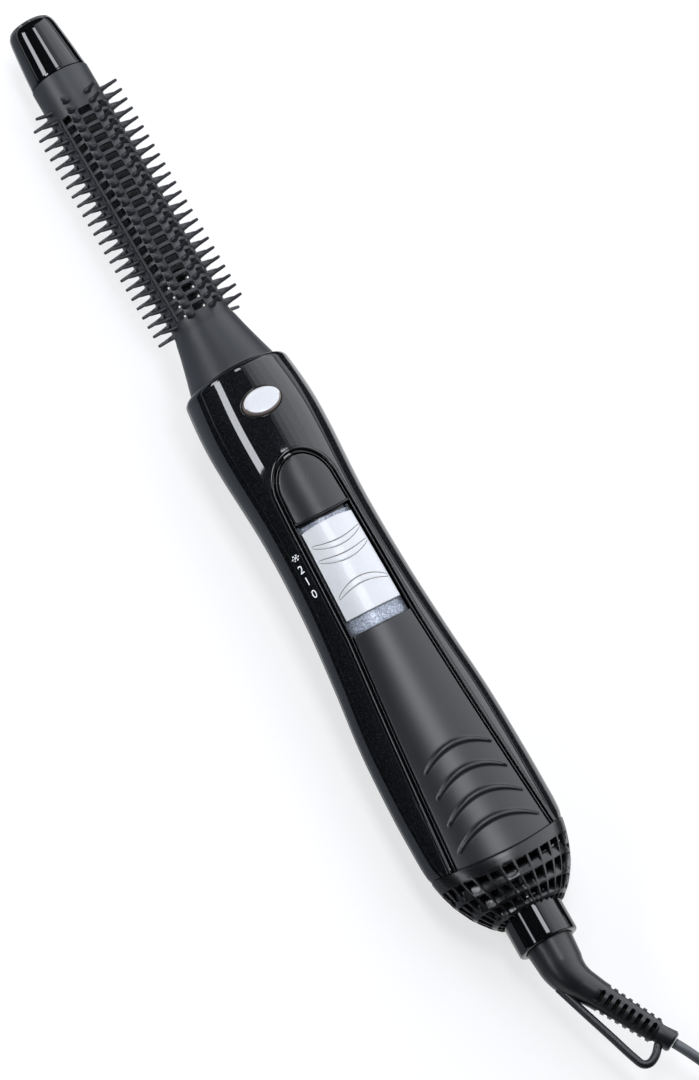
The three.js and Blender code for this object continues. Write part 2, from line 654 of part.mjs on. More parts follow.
const SCREWS = [{ x: MOUTH + 121 }, { x: MOUTH + 163.8 }];
const SCREW = { head: 2.6, shank: 1.2, boss: 3.6, post: 3, sink: 4, reach: 8, flange: 2 };
const belly = (x) => skinPoint(x, 1.5 * Math.PI).z;
const crown = (x) => skinPoint(x, 0.5 * Math.PI).z;
const screwFloor = (x) => belly(x) + SCREW.sink;
const bossTop = (x) => screwFloor(x) + SCREW.flange;

/** The slot in which the switch carriage travels. */
function carriageSlot(low) {
  return solid(box(
    CARRIAGE.x - CARRIAGE.length / 2 - SWITCH_TO_TIP - CLEARANCE,
    CARRIAGE.x + CARRIAGE.length / 2 + SWITCH_TO_CORD + CLEARANCE,
    -CARRIAGE.width / 2 - CLEARANCE, CARRIAGE.width / 2 + CLEARANCE, low, FAR,
  ));
}

function frontShell() {
  const recess = BEZEL_WIDTH + 2 * CLEARANCE;
  const past = INLAY_FOOT.x;
  const pocket = above(TRAY_DEPTH).intersect(inlayPrism(INLAY_APEX - recess, past + OUTSIDE, recess));
  const tray = shellLayer(1, SHELL_WALL / 2, TRAY_DEPTH + TRAY_WALL)
    .intersect(inlayPrism(INLAY_APEX - recess, past, recess + TRAY_WALL));
  const switchRoom = solid(box(
    SWITCH.start - CLEARANCE, SWITCH.end + CLEARANCE,
    -SWITCH.width / 2 - CLEARANCE, SWITCH.width / 2 + CLEARANCE, SWITCH.low - CLEARANCE, SWITCH.high + 4,
  )).subtract(above(TRAY_DEPTH + TRAY_WALL + CLEARANCE / 2));
  const ribsCut = ribs(1).map((rib) => rib.subtract(switchRoom));
  const posts = SCREWS.map(({ x }) => solid(upright(x, SCREW.post, bossTop(x) + CLEARANCE, crown(x)))
    .subtract(above(TRAY_DEPTH + TRAY_WALL / 2))
    .subtract(solid(upright(x, SCREW.shank + CLEARANCE, -FAR, screwFloor(x) + SCREW.reach + 1))));
  return shape(wasm.Manifold.union([
    shellLayer(1, 0, SHELL_WALL),
    tray,
    ...ribsCut,
    ...posts,
  ]).subtract(pocket).subtract(carriageSlot(0)).subtract(ovalPrism(CLEARANCE, 0, FAR)).subtract(mouthBore()));
}

function rearShell() {
  const bosses = SCREWS.map(({ x }) => solid(upright(x, SCREW.boss, belly(x) + SHELL_WALL / 2, bossTop(x))));
  const wells = SCREWS.map(({ x }) => solid(upright(x, SCREW.head + CLEARANCE, -FAR, screwFloor(x))));
  const holes = SCREWS.map(({ x }) => solid(upright(x, SCREW.shank + CLEARANCE, -FAR, bossTop(x) + 1)));
  const wellRadius = SPRING.radius + SPRING.wire + CLEARANCE;
  const springWell = solid(upright(LATCH.x + LATCH.thickness / 2, wellRadius, SPRING_LOW - CLEARANCE, 0));
  const ledgeHalf = BOARD.width / 2 - 2;
  const ledges = [BOARD.start + 1, BOARD.end - 1 - RIB].map((x) => halfBlock(-1, SHELL_WALL / 2)
    .intersect(solid(box(x, x + RIB, -ledgeHalf, ledgeHalf, -FAR, BOARD.low - CLEARANCE))));
  let body = wasm.Manifold.union([shellLayer(-1, 0, SHELL_WALL), ...ribs(-1), ...bosses, ...ledges]);
  for (const cut of [...wells, ...holes, springWell, mouthBore()]) body = body.subtract(cut);
  return shape(body);
}

// ---------------------------------------------------------------- latch and button
const LATCH_CENTRE = brushHeight(LATCH.x + LATCH.thickness / 2);
const LATCH_HOLE = {
  side: SPIGOT_RADIUS + 2 * CLEARANCE,
  top: SPIGOT_RADIUS + CLEARANCE + BUTTON.travel,
  bottom: SPIGOT_RADIUS + 2 * CLEARANCE,
};
const LATCH_LOW = LATCH_CENTRE - LATCH_HOLE.bottom - LATCH.bottom;
const SPRING_LOW = skinPoint(LATCH.x, 1.5 * Math.PI).z + SPRING.floor + CLEARANCE;

function releaseLatch() {
  const middle = (LATCH_HOLE.top - LATCH_HOLE.bottom) / 2;
  const height = (LATCH_HOLE.top + LATCH_HOLE.bottom) / 2;
  const outline = new THREE.Shape();
  outline.absellipse(0, middle + (LATCH.top - LATCH.bottom) / 2, LATCH_HOLE.side + LATCH.side,
    height + (LATCH.top + LATCH.bottom) / 2, 0, 2 * Math.PI);
  const hole = new THREE.Path();
  hole.absellipse(0, middle, LATCH_HOLE.side, height, 0, 2 * Math.PI);
  outline.holes.push(hole);
  const plate = extruded(outline, LATCH.thickness, 10);
  plate.rotateX(Math.PI / 2);
  plate.rotateZ(Math.PI / 2);
  plate.translate(LATCH.x, 0, LATCH_CENTRE);
  return faceAgain(plate);
}

function releaseButton() {
  const foot = LATCH_CENTRE + LATCH_HOLE.top + LATCH.top + CLEARANCE;
  return shape(ovalPrism(0, foot, 60).intersect(shellLayer(1, -BUTTON.proud, SHELL_WALL + 4)));
}

function helix(start, radius, wire, turns, height, sides, steps) {
  const count = Math.round(turns * steps);
  const points = Array.from({ length: count + 1 }, (_, i) => {
    const angle = 2 * Math.PI * i / steps;
    const point = new THREE.Vector3(radius * Math.cos(angle), radius * Math.sin(angle), height * i / count);
    return point.add(start);
  });
  return roundTube(points, points.map(() => wire / 2), sides);
}

function buttonSpring() {
  const height = LATCH_LOW - CLEARANCE - SPRING_LOW - SPRING.wire;
  const start = new THREE.Vector3(LATCH.x + LATCH.thickness / 2, 0, SPRING_LOW + SPRING.wire / 2);
  return helix(start, SPRING.radius, SPRING.wire, SPRING.turns, height, 5, 8);
}

// ---------------------------------------------------------------- inlays and switch
const inlayLayer = (top, bottom, start, end, offset) => (
  shellLayer(1, top, bottom).intersect(inlayPrism(start, end, offset)));

function upperInlay() {
  const past = WINDOW_TOP.x;
  const thin = inlayLayer(0, INLAY_THICKNESS, INLAY_APEX, past, 0);
  const foot = inlayLayer(0, TRAY_DEPTH - CLEARANCE, INLAY_APEX, TRACK.start - INLAY_FOOT_GAP, 0);
  return shape(thin.add(foot));
}

function gripPanel() {
  const panel = inlayLayer(0, TRAY_DEPTH - CLEARANCE, WINDOW_BOTTOM.x, INLAY_FOOT.x, 0);
  return shape(panel);
}

function panelBezel() {
  const start = INLAY_APEX - BEZEL_WIDTH;
  const band = inlayLayer(-0.3, TRAY_DEPTH - CLEARANCE, start, INLAY_FOOT.x, BEZEL_WIDTH + CLEARANCE);
  const inside = inlayPrism(INLAY_APEX, INLAY_FOOT.x + 1, CLEARANCE);
  return shape(band.subtract(inside));
}

function trackPlate() {
  const end = WINDOW_BOTTOM.x - CLEARANCE;
  const plate = inlayLayer(TRACK.top, TRACK.top + TRACK.thickness, TRACK.start, end, -CLEARANCE);
  return shape(plate.subtract(carriageSlot(SWITCH.high)));
}

function switchSlider() {
  const plate = inlayLayer(SLIDER.top, SLIDER.top + SLIDER.thickness, SLIDER.start, SLIDER.end, -SLIDER.side);
  return shape(plate);
}

const SWITCH = { start: MOUTH + 58.8, end: MOUTH + 90.8, width: 9, low: 13.2, high: 16.8, post: 2 };

function switchCarriage() {
  const stem = solid(box(
    CARRIAGE.x - CARRIAGE.length / 2, CARRIAGE.x + CARRIAGE.length / 2,
    -CARRIAGE.width / 2, CARRIAGE.width / 2, SWITCH.high - CARRIAGE.engaged, FAR,
  ));
  return shape(stem.subtract(above(SLIDER.top + SLIDER.thickness + CLEARANCE)).intersect(halfBlock(1, 0)));
}

function switchBody() {
  const half = SWITCH.width / 2;
  const body = solid(box(SWITCH.start, SWITCH.end, -half, half, SWITCH.low, SWITCH.high));
  const slot = carriageSlot(SWITCH.high - CARRIAGE.engaged - 2 * CLEARANCE);
  const posts = [SWITCH.start, SWITCH.end - SWITCH.post].map((x) => solid(box(
    x, x + SWITCH.post, -half, half, SWITCH.high - 1, FAR,
  )));
  const room = halfBlock(1, TRAY_DEPTH + TRAY_WALL + CLEARANCE);
  return shape(wasm.Manifold.union([body, ...posts]).subtract(slot).intersect(room));
}

add(root, 'front_shell', frontShell(), 'gloss');
add(root, 'rear_shell', rearShell(), 'gloss');
add(root, 'release_button', releaseButton(), 'pearl');
add(root, 'release_latch', releaseLatch(), 'satin');
add(root, 'button_spring', buttonSpring(), 'steel');
add(root, 'upper_inlay', upperInlay(), 'inlay');
add(root, 'grip_panel', gripPanel(), 'inlay');
add(root, 'panel_bezel', panelBezel(), 'gloss');
add(root, 'track_plate', trackPlate(), 'track');
add(root, 'switch_slider', switchSlider(), 'pearl');
add(root, 'switch_carriage', switchCarriage(), 'satin');
add(root, 'switch_body', switchBody(), 'satin');

// ---------------------------------------------------------------- heater, fan and motor
const MICA_HALF = 7.4;
const MICA_TAB_HALF = LINER.radius - LINER.wall - CLEARANCE;

function micaBoard(slotAtFront) {
  const half = MICA.thickness / 2;
  const middle = (MICA.start + MICA.end) / 2;
  const plate = solid(box(MICA.start, MICA.end, -half, half, -MICA_HALF, MICA_HALF))
    .add(solid(box(MICA.start, MICA.start + MICA.tab, -half, half, -MICA_TAB_HALF, MICA_TAB_HALF)))
    .add(solid(box(MICA.end - MICA.tab, MICA.end, -half, half, -MICA_TAB_HALF, MICA_TAB_HALF)));
  const slot = half + CLEARANCE;
  const cut = slotAtFront
    ? box(MICA.start - 1, middle + CLEARANCE, -2, 2, -slot, slot)
    : box(middle - CLEARANCE, MICA.end + 1, -2, 2, -slot, slot);
  return shape(plate.subtract(solid(cut)));
}

/** The wire touches the boards' edges at each quarter turn, so eight steps make a turn. */
function heaterWire() {
  const { wire, turns, start, end } = HEATER_WIRE;
  const radius = MICA_HALF + CLEARANCE + wire / 2;
  const geometry = helix(new THREE.Vector3(0, 0, 0), radius, wire, turns, end - start, 4, 8);
  geometry.rotateY(Math.PI / 2);
  geometry.translate(start, 0, 0);
  return faceAgain(geometry);
}

function motorCan() {
  const inside = MOTOR.radius - MOTOR.wall;
  const bore = MOTOR.shaft + CLEARANCE;
  const end = MOTOR_END - MOTOR.cap - CLEARANCE;
  return turned([
    [MOTOR.start, bore], [MOTOR.start, MOTOR.radius], [end, MOTOR.radius], [end, inside],
    [MOTOR.start + MOTOR.wall, inside], [MOTOR.start + MOTOR.wall, bore], [MOTOR.start, bore],
  ], INNER_ROUND);
}

function motorEndCap() {
  const bore = MOTOR.shaft + CLEARANCE;
  return turned([
    [MOTOR_END - MOTOR.cap, bore], [MOTOR_END - MOTOR.cap, MOTOR.radius], [MOTOR_END - 1.5, MOTOR.radius],
    [MOTOR_END - 1.5, MOTOR.boss], [MOTOR_END, MOTOR.boss], [MOTOR_END, bore], [MOTOR_END - MOTOR.cap, bore],
  ], INNER_ROUND);
}

function motorShaft() {
  const low = MOTOR.start + ARMATURE.margin;
  const high = MOTOR_END - MOTOR.cap - ARMATURE.margin;
  return turned([
    [FAN.start - 0.5, 0], [FAN.start - 0.5, MOTOR.shaft], [low, MOTOR.shaft], [low, ARMATURE.radius],
    [high, ARMATURE.radius], [high, MOTOR.shaft], [MOTOR_END + 0.8, MOTOR.shaft], [MOTOR_END + 0.8, 0],
  ], 12);
}

function fan() {
  const bore = MOTOR.shaft + CLEARANCE;
  const hub = solid(turned([
    [FAN.start, bore],
    [FAN.start, FAN.hub - 1],
    [FAN.start + 1.5, FAN.hub],
    [FAN.start + FAN.length, FAN.hub],
    [FAN.start + FAN.length, bore],
    [FAN.start, bore],
  ], 8));
  const blades = Array.from({ length: FAN.blades }, (_, i) => {
    const blade = new THREE.BoxGeometry(FAN.length - 0.8, FAN.blade, FAN.reach - FAN.hub + 0.8);
    blade.translate(0, 0, (FAN.reach + FAN.hub - 0.8) / 2);
    blade.rotateZ(rad(FAN.twistDeg));
    blade.rotateX(2 * Math.PI * i / FAN.blades);
    blade.translate(FAN.start + FAN.length / 2, 0, 0);
    return solid(blade);
  });
  return shape(wasm.Manifold.union([hub, ...blades]));
}

function motorMount() {
  const duct = LINER.radius - LINER.wall;
  const cage = MOTOR.radius + CLEARANCE;
  const flare = solid(turned([
    [MOUNT.start, duct],
    [MOUNT.start, duct + MOUNT.wall],
    [MOUNT.end - MOUNT.ring, duct + MOUNT.wall],
    [MOUNT.end - MOUNT.ring, CAGE_RADIUS],
    [MOUNT.end, CAGE_RADIUS],
    [MOUNT.end, duct],
    [MOUNT.start, duct],
  ], SMALL_ROUND));
  const ring = solid(sleeve(CAGE.end - MOUNT.ring, CAGE.end, CAGE_RADIUS, cage));
  const bars = Array.from({ length: MOUNT.bars }, (_, i) => {
    const low = cage + 0.1;
    const high = CAGE_RADIUS * Math.cos(Math.PI / SMALL_ROUND) - 0.1;
    const bar = box(MOUNT.end - 1, CAGE.end - 1, -MOUNT.barWidth / 2, MOUNT.barWidth / 2, low, high);
    bar.rotateX(2 * Math.PI * (i + 0.5) / MOUNT.bars);
    return solid(bar);
  });
  return shape(wasm.Manifold.union([flare, ring, ...bars]));
}

const heater = new THREE.Group();
heater.position.z = HEATER_HEIGHT;
root.add(heater);
const linerBore = LINER.radius - LINER.wall;
add(heater, 'mica_liner', sleeve(LINER.start, LINER.end, LINER.radius, linerBore, INNER_ROUND), 'mica');
add(heater, 'mica_board_upright', micaBoard(true), 'mica');
add(heater, 'mica_board_flat', micaBoard(false), 'mica').rotation.x = Math.PI / 2;
add(heater, 'heater_wire', heaterWire(), 'steel');
const boardSide = MICA.thickness / 2 + CLEARANCE;
add(heater, 'thermostat', box(
  THERMOSTAT.start, THERMOSTAT.end, boardSide, boardSide + THERMOSTAT.width, THERMOSTAT.low, THERMOSTAT.high,
), 'white');
add(heater, 'thermal_fuse', rod(FUSE.start, FUSE.end, FUSE.radius, 12), 'steel')
  .position.set(0, -boardSide - FUSE.radius, FUSE.height);
add(heater, 'motor_mount', motorMount(), 'satin');
add(heater, 'motor_can', motorCan(), 'steel');
add(heater, 'motor_end_cap', motorEndCap(), 'white');
add(heater, 'motor_shaft', motorShaft(), 'steel');
add(heater, 'fan', fan(), 'white');

// ---------------------------------------------------------------- circuit board and leads
add(root, 'circuit_board', box(
  BOARD.start, BOARD.end, -BOARD.width / 2, BOARD.width / 2, BOARD.low, BOARD.low + BOARD.thickness,
), 'board');
for (let i = 0; i < DIODE.count; i += 1) {
  const diode = new THREE.CylinderGeometry(DIODE.radius, DIODE.radius, DIODE.length, 8);
  const mesh = add(root, `diode_${i + 1}`, faceAgain(diode), 'satin');
  mesh.position.set(DIODE.first + i * DIODE.pitch, 0, BOARD.low + BOARD.thickness + CLEARANCE + DIODE.radius);
}

const vector = ([x, y, z = 0]) => new THREE.Vector3(x, y, z);

function lead(side) {
  const height = BOARD.low + BOARD.thickness + CLEARANCE + LEAD.radius;
  const route = new THREE.CatmullRomCurve3([
    [LEAD.start, side * LEAD.spread, height],
    [BOARD.end + 1, side * LEAD.spread, height],
    [SCREWS[1].x + 6, side * LEAD.spread, height * 0.7],
    [NECK.start - 9, side * LEAD.close, 0],
    [NECK.start - CLEARANCE, side * LEAD.close, 0],
  ].map(vector));
  const points = route.getPoints(9);
  return roundTube(points, points.map(() => LEAD.radius), 5);
}

add(root, 'inner_lead_left', lead(-1), 'white');
add(root, 'inner_lead_right', lead(1), 'rubber');

// ---------------------------------------------------------------- screws of the rear shell
SCREWS.forEach(({ x }, i) => {
  const screw = new THREE.LatheGeometry([
    [0, -2.2],
    [SCREW.head, -2.2],
    [SCREW.head, -CLEARANCE],
    [SCREW.shank, -CLEARANCE],
    [SCREW.shank, SCREW.reach],
    [0, SCREW.reach],
  ].map(([radius, z]) => new THREE.Vector2(radius, z)), 12);
  screw.rotateX(Math.PI / 2);
  add(root, `shell_screw_${i + 1}`, faceAgain(screw), 'steel').position.set(x, 0, screwFloor(x));
});

// ---------------------------------------------------------------- intake grille and collar
function intakeGrille() {
  const cells = 2 * SLOTS_AROUND;
  const starts = [0, ...SLOT_ROWS.flat()];
  const open = 2 * Math.PI / SLOTS_AROUND * SLOT_SHARE;
  const angleAt = (column) => {
    const pitch = 2 * Math.PI / SLOTS_AROUND;
    const slot = Math.floor(column / 2) * pitch;
    return slot + (column % 2 === 0 ? 0 : open) - open / 2 + pitch / 2;
  };
  const place = (share, angle, inset) => {
    const from = (z) => seamAt(z) + CLEARANCE / 2;
    let point = skinPoint(SEAM_X, angle, inset);
    for (let i = 0; i < 4; i += 1) {
      const start = from(skinPoint(from(point.z), angle, 0).z);
      const first = Math.asin((start - DOME.centre) / DOME.length);
      const last = Math.asin((DOME_END - DOME.centre) / DOME.length);
      const x = DOME.centre + DOME.length * Math.sin(lerp(first, last, share));
      point = skinPoint(x, angle, inset);
    }
    return point;
  };
  const inside = (share, angle) => {
    const point = place(share, angle, DOME.wall);
    const radius = Math.hypot(point.y, point.z);
    const least = COLLAR_RADIUS + CLEARANCE;
    if (radius < least) {
      point.y *= least / radius;
      point.z *= least / radius;
    }
    return point;
  };
  return gridWall(
    cells,
    starts.length - 1,
    (column, row) => place(starts[row], angleAt(column), 0),
    (column, row) => inside(starts[row], angleAt(column)),
    (column, row) => !(column % 2 === 0 && row % 2 === 1),
  );
}

function cordCollar() {
  const hole = NECK.radius + CLEARANCE;
  return turned([
    [COLLAR_START, COLLAR_BORE],
    [COLLAR_START, COLLAR_RADIUS],
    [COLLAR_END - 0.6, COLLAR_RADIUS],
    [COLLAR_END, COLLAR_RADIUS - 0.6],
    [COLLAR_END, COLLAR_BORE],
    [SWIVEL_WALL.x + SWIVEL_WALL.thickness, COLLAR_BORE],
    [SWIVEL_WALL.x + SWIVEL_WALL.thickness, hole],
    [SWIVEL_WALL.x, hole],
    [SWIVEL_WALL.x, COLLAR_BORE],
    [COLLAR_START, COLLAR_BORE],
  ]);
}

// ---------------------------------------------------------------- strain relief
function reliefRoute() {
  const bend = rad(RELIEF_BEND_DEG);
  const tangent = RELIEF_BEND_RADIUS * Math.tan(bend / 2);
  const points = [[COLLAR_END, 0]];
  const arcSteps = 5;
  for (let i = 0; i <= arcSteps; i += 1) {
    const turn = bend * i / arcSteps;
    points.push([
      RELIEF_BEND_X - tangent + RELIEF_BEND_RADIUS * Math.sin(turn),
      RELIEF_BEND_RADIUS * (1 - Math.cos(turn)),
    ]);
  }
  points.push([RELIEF_BEND_X + RELIEF_RUN * Math.cos(bend), RELIEF_RUN * Math.sin(bend)]);
  const path = new THREE.CurvePath();
  for (let i = 0; i < points.length - 1; i += 1) {
    path.add(new THREE.LineCurve3(vector(points[i]), vector(points[i + 1])));
  }
  return path;
}

const RELIEF = reliefRoute();
const reliefPoint = (distance) => RELIEF.getPointAt(Math.min(1, distance / RELIEF.getLength()));
const reliefTurn = (distance) => {
  const tangent = RELIEF.getTangentAt(Math.min(1, distance / RELIEF.getLength()));
  return Math.atan2(tangent.y, tangent.x);
};

function reliefRadius(distance) {
  const i = Math.max(1, RELIEF_RADII.findIndex(([at]) => at >= distance - 1e-6));
  const [a, ra] = RELIEF_RADII[i - 1];
  const [b, rb] = RELIEF_RADII[i];
  return lerp(ra, rb, (distance - a) / (b - a));
}

function strainRelief() {
  const stops = [0, 6, 8, 10, 12, 14, 16, 19.5, 23.2, 45.5, 46.4, 51.4, 52.2];
  const points = stops.map(reliefPoint);
  const body = solid(roundTube(points, stops.map(reliefRadius), RELIEF_SIDES));
  const flange = COLLAR_BORE - CLEARANCE;
  const wallEnd = SWIVEL_WALL.x + SWIVEL_WALL.thickness + CLEARANCE;
  const neck = solid(turned([
    [NECK.start, 0],
    [NECK.start, NECK.radius],
    [CLIP.x - CLEARANCE, NECK.radius],
    [CLIP.x - CLEARANCE, NECK.groove],
    [CLIP.x + CLIP.thickness + CLEARANCE, NECK.groove],
    [CLIP.x + CLIP.thickness + CLEARANCE, NECK.radius],
    [wallEnd, NECK.radius],
    [wallEnd, flange],
    [COLLAR_END + 0.2, flange],
    [COLLAR_END + 0.2, 0],
  ], 12));
  const curve = new THREE.CatmullRomCurve3(LOOP_ROUTE.map(vector), false, 'centripetal');
  const loopPoints = curve.getPoints(16);
  const loop = solid(roundTube(loopPoints, loopPoints.map(() => LOOP_ROD), 6));
  const notches = [];
  for (let i = 0; i < RELIEF_SLOTS.count; i += 1) {
    for (const side of [0, 2]) {
      const distance = RELIEF_SLOTS.first + i * RELIEF_SLOTS.pitch;
      const radius = reliefRadius(distance);
      const notch = box(
        -RELIEF_SLOTS.width / 2, RELIEF_SLOTS.width / 2,
        -RELIEF_SLOTS.long / 2, RELIEF_SLOTS.long / 2,
        radius - RELIEF_SLOTS.depth, radius + 1,
      );
      notch.rotateX(side * Math.PI / 2);
      notch.rotateZ(reliefTurn(distance));
      notch.translate(...reliefPoint(distance).toArray());
      notches.push(solid(notch));
    }
  }
  return shape(body.subtract(wasm.Manifold.union(notches)).add(neck).add(loop));
}

add(root, 'intake_grille', intakeGrille(), 'satin');
add(root, 'cord_collar', cordCollar(), 'gloss');
const clipBore = NECK.groove + CLEARANCE;
add(root, 'retaining_clip', sleeve(CLIP.x, CLIP.x + CLIP.thickness, CLIP.radius, clipBore), 'steel');
add(root, 'strain_relief', strainRelief(), 'rubber');

// ---------------------------------------------------------------- cord
const CORD_HEADING = rad(RELIEF_BEND_DEG);
const EXIT = reliefPoint(RELIEF.getLength())
  .add(new THREE.Vector3(Math.cos(CORD_HEADING), Math.sin(CORD_HEADING), 0).multiplyScalar(CLEARANCE));
const FLOOR = CORD_FLOOR - CHORD_HEIGHT;
const TURNS_PER_LAYER = COIL.turns / COIL.layers;
const COIL_OUTER = COIL.inner + TURNS_PER_LAYER * COIL.pitch;

/** The coil's centre line after so many turns, wound clockwise seen from above. */
function coilPoint(turn) {
  const layer = Math.min(Math.floor(turn / TURNS_PER_LAYER), COIL.layers - 1);
  const within = turn / TURNS_PER_LAYER - layer;
  const inwards = layer % 2 === 0 ? within : 1 - within;
  const radius = COIL_OUTER - inwards * TURNS_PER_LAYER * COIL.pitch;
  let rise = 0;
  for (let k = 1; k < COIL.layers; k += 1) {
    rise += THREE.MathUtils.smoothstep((turn - k * TURNS_PER_LAYER) / 0.5 + 0.5, 0, 1) * COIL.pitch;
  }
  const angle = rad(COIL.startDeg) - 2 * Math.PI * turn;
  const [along, across] = [radius * Math.cos(angle), radius * Math.sin(angle)];
  return new THREE.Vector3(COIL.x + along, COIL.y + across, FLOOR + rise);
}

/** The point past an end of a line, straight on from the point inside it. */
function beyond(end, inner, distance) {
  return end.clone().addScaledVector(end.clone().sub(inner).normalize(), distance);
}

function coilPoints() {
  const count = Math.round(COIL.turns * COIL_STEPS);
  const points = Array.from({ length: count + 1 }, (_, i) => coilPoint(i * COIL.turns / count));
  points.unshift(beyond(points[0], points[1], CORD_DIAMETER));
  points.push(beyond(points.at(-1), points.at(-2), CORD_DIAMETER));
  return points;
}

/** The least gap between turns of a tube, measured on its points and between them. */
function leastGap(points, diameter, apart) {
  let least = Infinity;
  for (let i = 0; i < points.length; i += 1) {
    for (let j = i + apart; j < points.length - 1; j += 1) {
      const segment = new THREE.Line3(points[j], points[j + 1]);
      const nearest = segment.closestPointToPoint(points[i], true, new THREE.Vector3());
      least = Math.min(least, nearest.distanceTo(points[i]));
    }
  }
  return least - diameter;
}

const COIL_POINTS = coilPoints();
console.log('least gap in the coil', leastGap(COIL_POINTS, CORD_DIAMETER, COIL_STEPS / 2).toFixed(2), 'mm');

/** A length of cord through the points, kept clear of what it meets at both ends. */
function cordLength(route, steps) {
  const curve = new THREE.CatmullRomCurve3(route, false, 'centripetal');
  const points = curve.getSpacedPoints(steps);
  console.log('cord length', curve.getLength().toFixed(1), 'mm');
  return roundTube(points, points.map(() => CORD_DIAMETER / 2), CORD_SIDES);
}

// hand chosen: out of the relief, down to the table, and in to the coil's first turn
const fromCollar = ([x, y, z]) => [COLLAR_END + x, y, z];
const STRETCH_ROUTE = [
  [51.4, 21.9, -0.1], [55.9, 24.6, -1.4], [61.9, 28.4, -4.7], [67.9, 32.6, -8.9],
].map(fromCollar);
const TAIL_ROUTE = [[112.9, 45, -1.5], [120.9, 39.6, -5], [129.9, 34.6, -8]].map(fromCollar);

/** The last points of a cord that runs up to the coil's end, square to it. */
function meeting(end, inner) {
  return [1.5 * CORD_DIAMETER, CLEARANCE].map((gap) => beyond(end, inner, gap));
}

const coilStart = meeting(COIL_POINTS[0], COIL_POINTS[1]);
const coilEnd = meeting(COIL_POINTS.at(-1), COIL_POINTS.at(-2)).reverse();
const plugHeight = PLUG.height / 2 + 0.05 - CHORD_HEIGHT;
const plugEntry = new THREE.Vector3(PLUG.x - CLEARANCE, PLUG.y, plugHeight);
add(root, 'cord_stretch', cordLength([EXIT, ...STRETCH_ROUTE.map(vector), ...coilStart], 12), 'rubber');
const coilRadii = COIL_POINTS.map(() => CORD_DIAMETER / 2);
add(root, 'cord_coil', roundTube(COIL_POINTS, coilRadii, COIL_SIDES), 'rubber');
add(root, 'cord_tail', cordLength([...coilEnd, ...TAIL_ROUTE.map(vector), plugEntry], 10), 'rubber');

function cordTie() {
  const half = CORD_DIAMETER / 2 + CLEARANCE;
  const low = FLOOR - half;
  const high = FLOOR + (COIL.layers - 1) * COIL.pitch + half;
  const rectangle = (path, grow) => {
    const [x0, x1, y0, y1] = [COIL.inner - half - grow, COIL_OUTER + half + grow, low - grow, high + grow];
    path.moveTo(x0, y0);
    path.lineTo(x1, y0);
    path.lineTo(x1, y1);
    path.lineTo(x0, y1);
    path.closePath();
    return path;
  };
  const outline = rectangle(new THREE.Shape(), TIE.thickness);
  outline.holes.push(rectangle(new THREE.Path(), 0));
  const band = extruded(outline, TIE.width);
  band.translate(0, 0, -TIE.width / 2);
  band.rotateX(Math.PI / 2);
  band.rotateZ(rad(TIE.deg));
  band.translate(COIL.x, COIL.y, 0);
  return faceAgain(band);
}

function plugBody() {
  const stations = [
    [0, PLUG.neck, PLUG.neck], [9, PLUG.neck + 0.6, PLUG.neck + 0.4], [13, 7.5, 5],
    [19, 13, 6.2], [27, PLUG.width / 2, PLUG.height / 2], [PLUG.length, PLUG.width / 2, PLUG.height / 2],
  ];
  const rings = stations.map(([x, half, rise]) => Array.from({ length: 16 }, (_, i) => {
    const angle = 2 * Math.PI * i / 16;
    const square = (value) => Math.sign(value) * Math.abs(value) ** 0.6;
    const [y, z] = [half * square(Math.cos(angle)), rise * square(Math.sin(angle))];
    return new THREE.Vector3(PLUG.x + x, PLUG.y + y, plugHeight + z);
  }));
  return loft(rings, alongX);
}

add(root, 'cord_tie', cordTie(), 'rubber');
add(root, 'plug_body', plugBody(), 'rubber');
[-1, 1].forEach((side, i) => {
  const start = PLUG.x + PLUG.length + CLEARANCE;
  add(root, `plug_pin_${i + 1}`, rod(start, start + PLUG_PIN.length, PLUG_PIN.radius, 12), 'brass')
    .position.set(0, PLUG.y + side * PLUG_PIN.spacing / 2, plugHeight);
});

// the origin is on the table, under the middle of everything but the cord
root.position.z = CHORD_HEIGHT;
root.updateMatrixWorld(true);
const extent = new THREE.Box3();
for (const name of ['cool_tip', 'strain_relief']) extent.expandByObject(root.getObjectByName(name), true);
root.position.x = -(extent.min.x + extent.max.x) / 2;

export default root;
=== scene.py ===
# %% [markdown]
# # A hot air brush, dressed around its CAD frame
# The object is a styling brush that blows warm air through a round barrel of pins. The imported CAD
# model gives every size and every joint. Each cell below makes one piece or one finish, in
# millimetres counted from the brush's tip, and then puts it in the frame in metres.

# %% Load the frame and keep its box
import math

import bmesh
import bpy
from mathutils import Matrix, Vector


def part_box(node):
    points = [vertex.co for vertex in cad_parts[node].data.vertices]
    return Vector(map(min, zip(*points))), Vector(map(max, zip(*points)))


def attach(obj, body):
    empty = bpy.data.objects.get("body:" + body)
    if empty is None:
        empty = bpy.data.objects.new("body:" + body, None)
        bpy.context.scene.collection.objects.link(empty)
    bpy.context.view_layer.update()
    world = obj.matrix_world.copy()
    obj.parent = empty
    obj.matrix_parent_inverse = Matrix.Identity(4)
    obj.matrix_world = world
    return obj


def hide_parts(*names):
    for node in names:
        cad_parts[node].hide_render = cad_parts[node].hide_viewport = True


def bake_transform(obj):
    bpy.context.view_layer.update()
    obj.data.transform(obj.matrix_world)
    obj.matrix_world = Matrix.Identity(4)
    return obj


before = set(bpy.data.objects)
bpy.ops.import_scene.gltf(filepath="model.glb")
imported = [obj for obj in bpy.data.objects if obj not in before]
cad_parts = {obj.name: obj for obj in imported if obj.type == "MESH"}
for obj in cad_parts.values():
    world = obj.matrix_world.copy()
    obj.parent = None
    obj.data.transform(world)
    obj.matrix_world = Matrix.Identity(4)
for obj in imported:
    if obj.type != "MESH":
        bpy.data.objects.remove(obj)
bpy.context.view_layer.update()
bpy.ops.object.select_all(action="DESELECT")

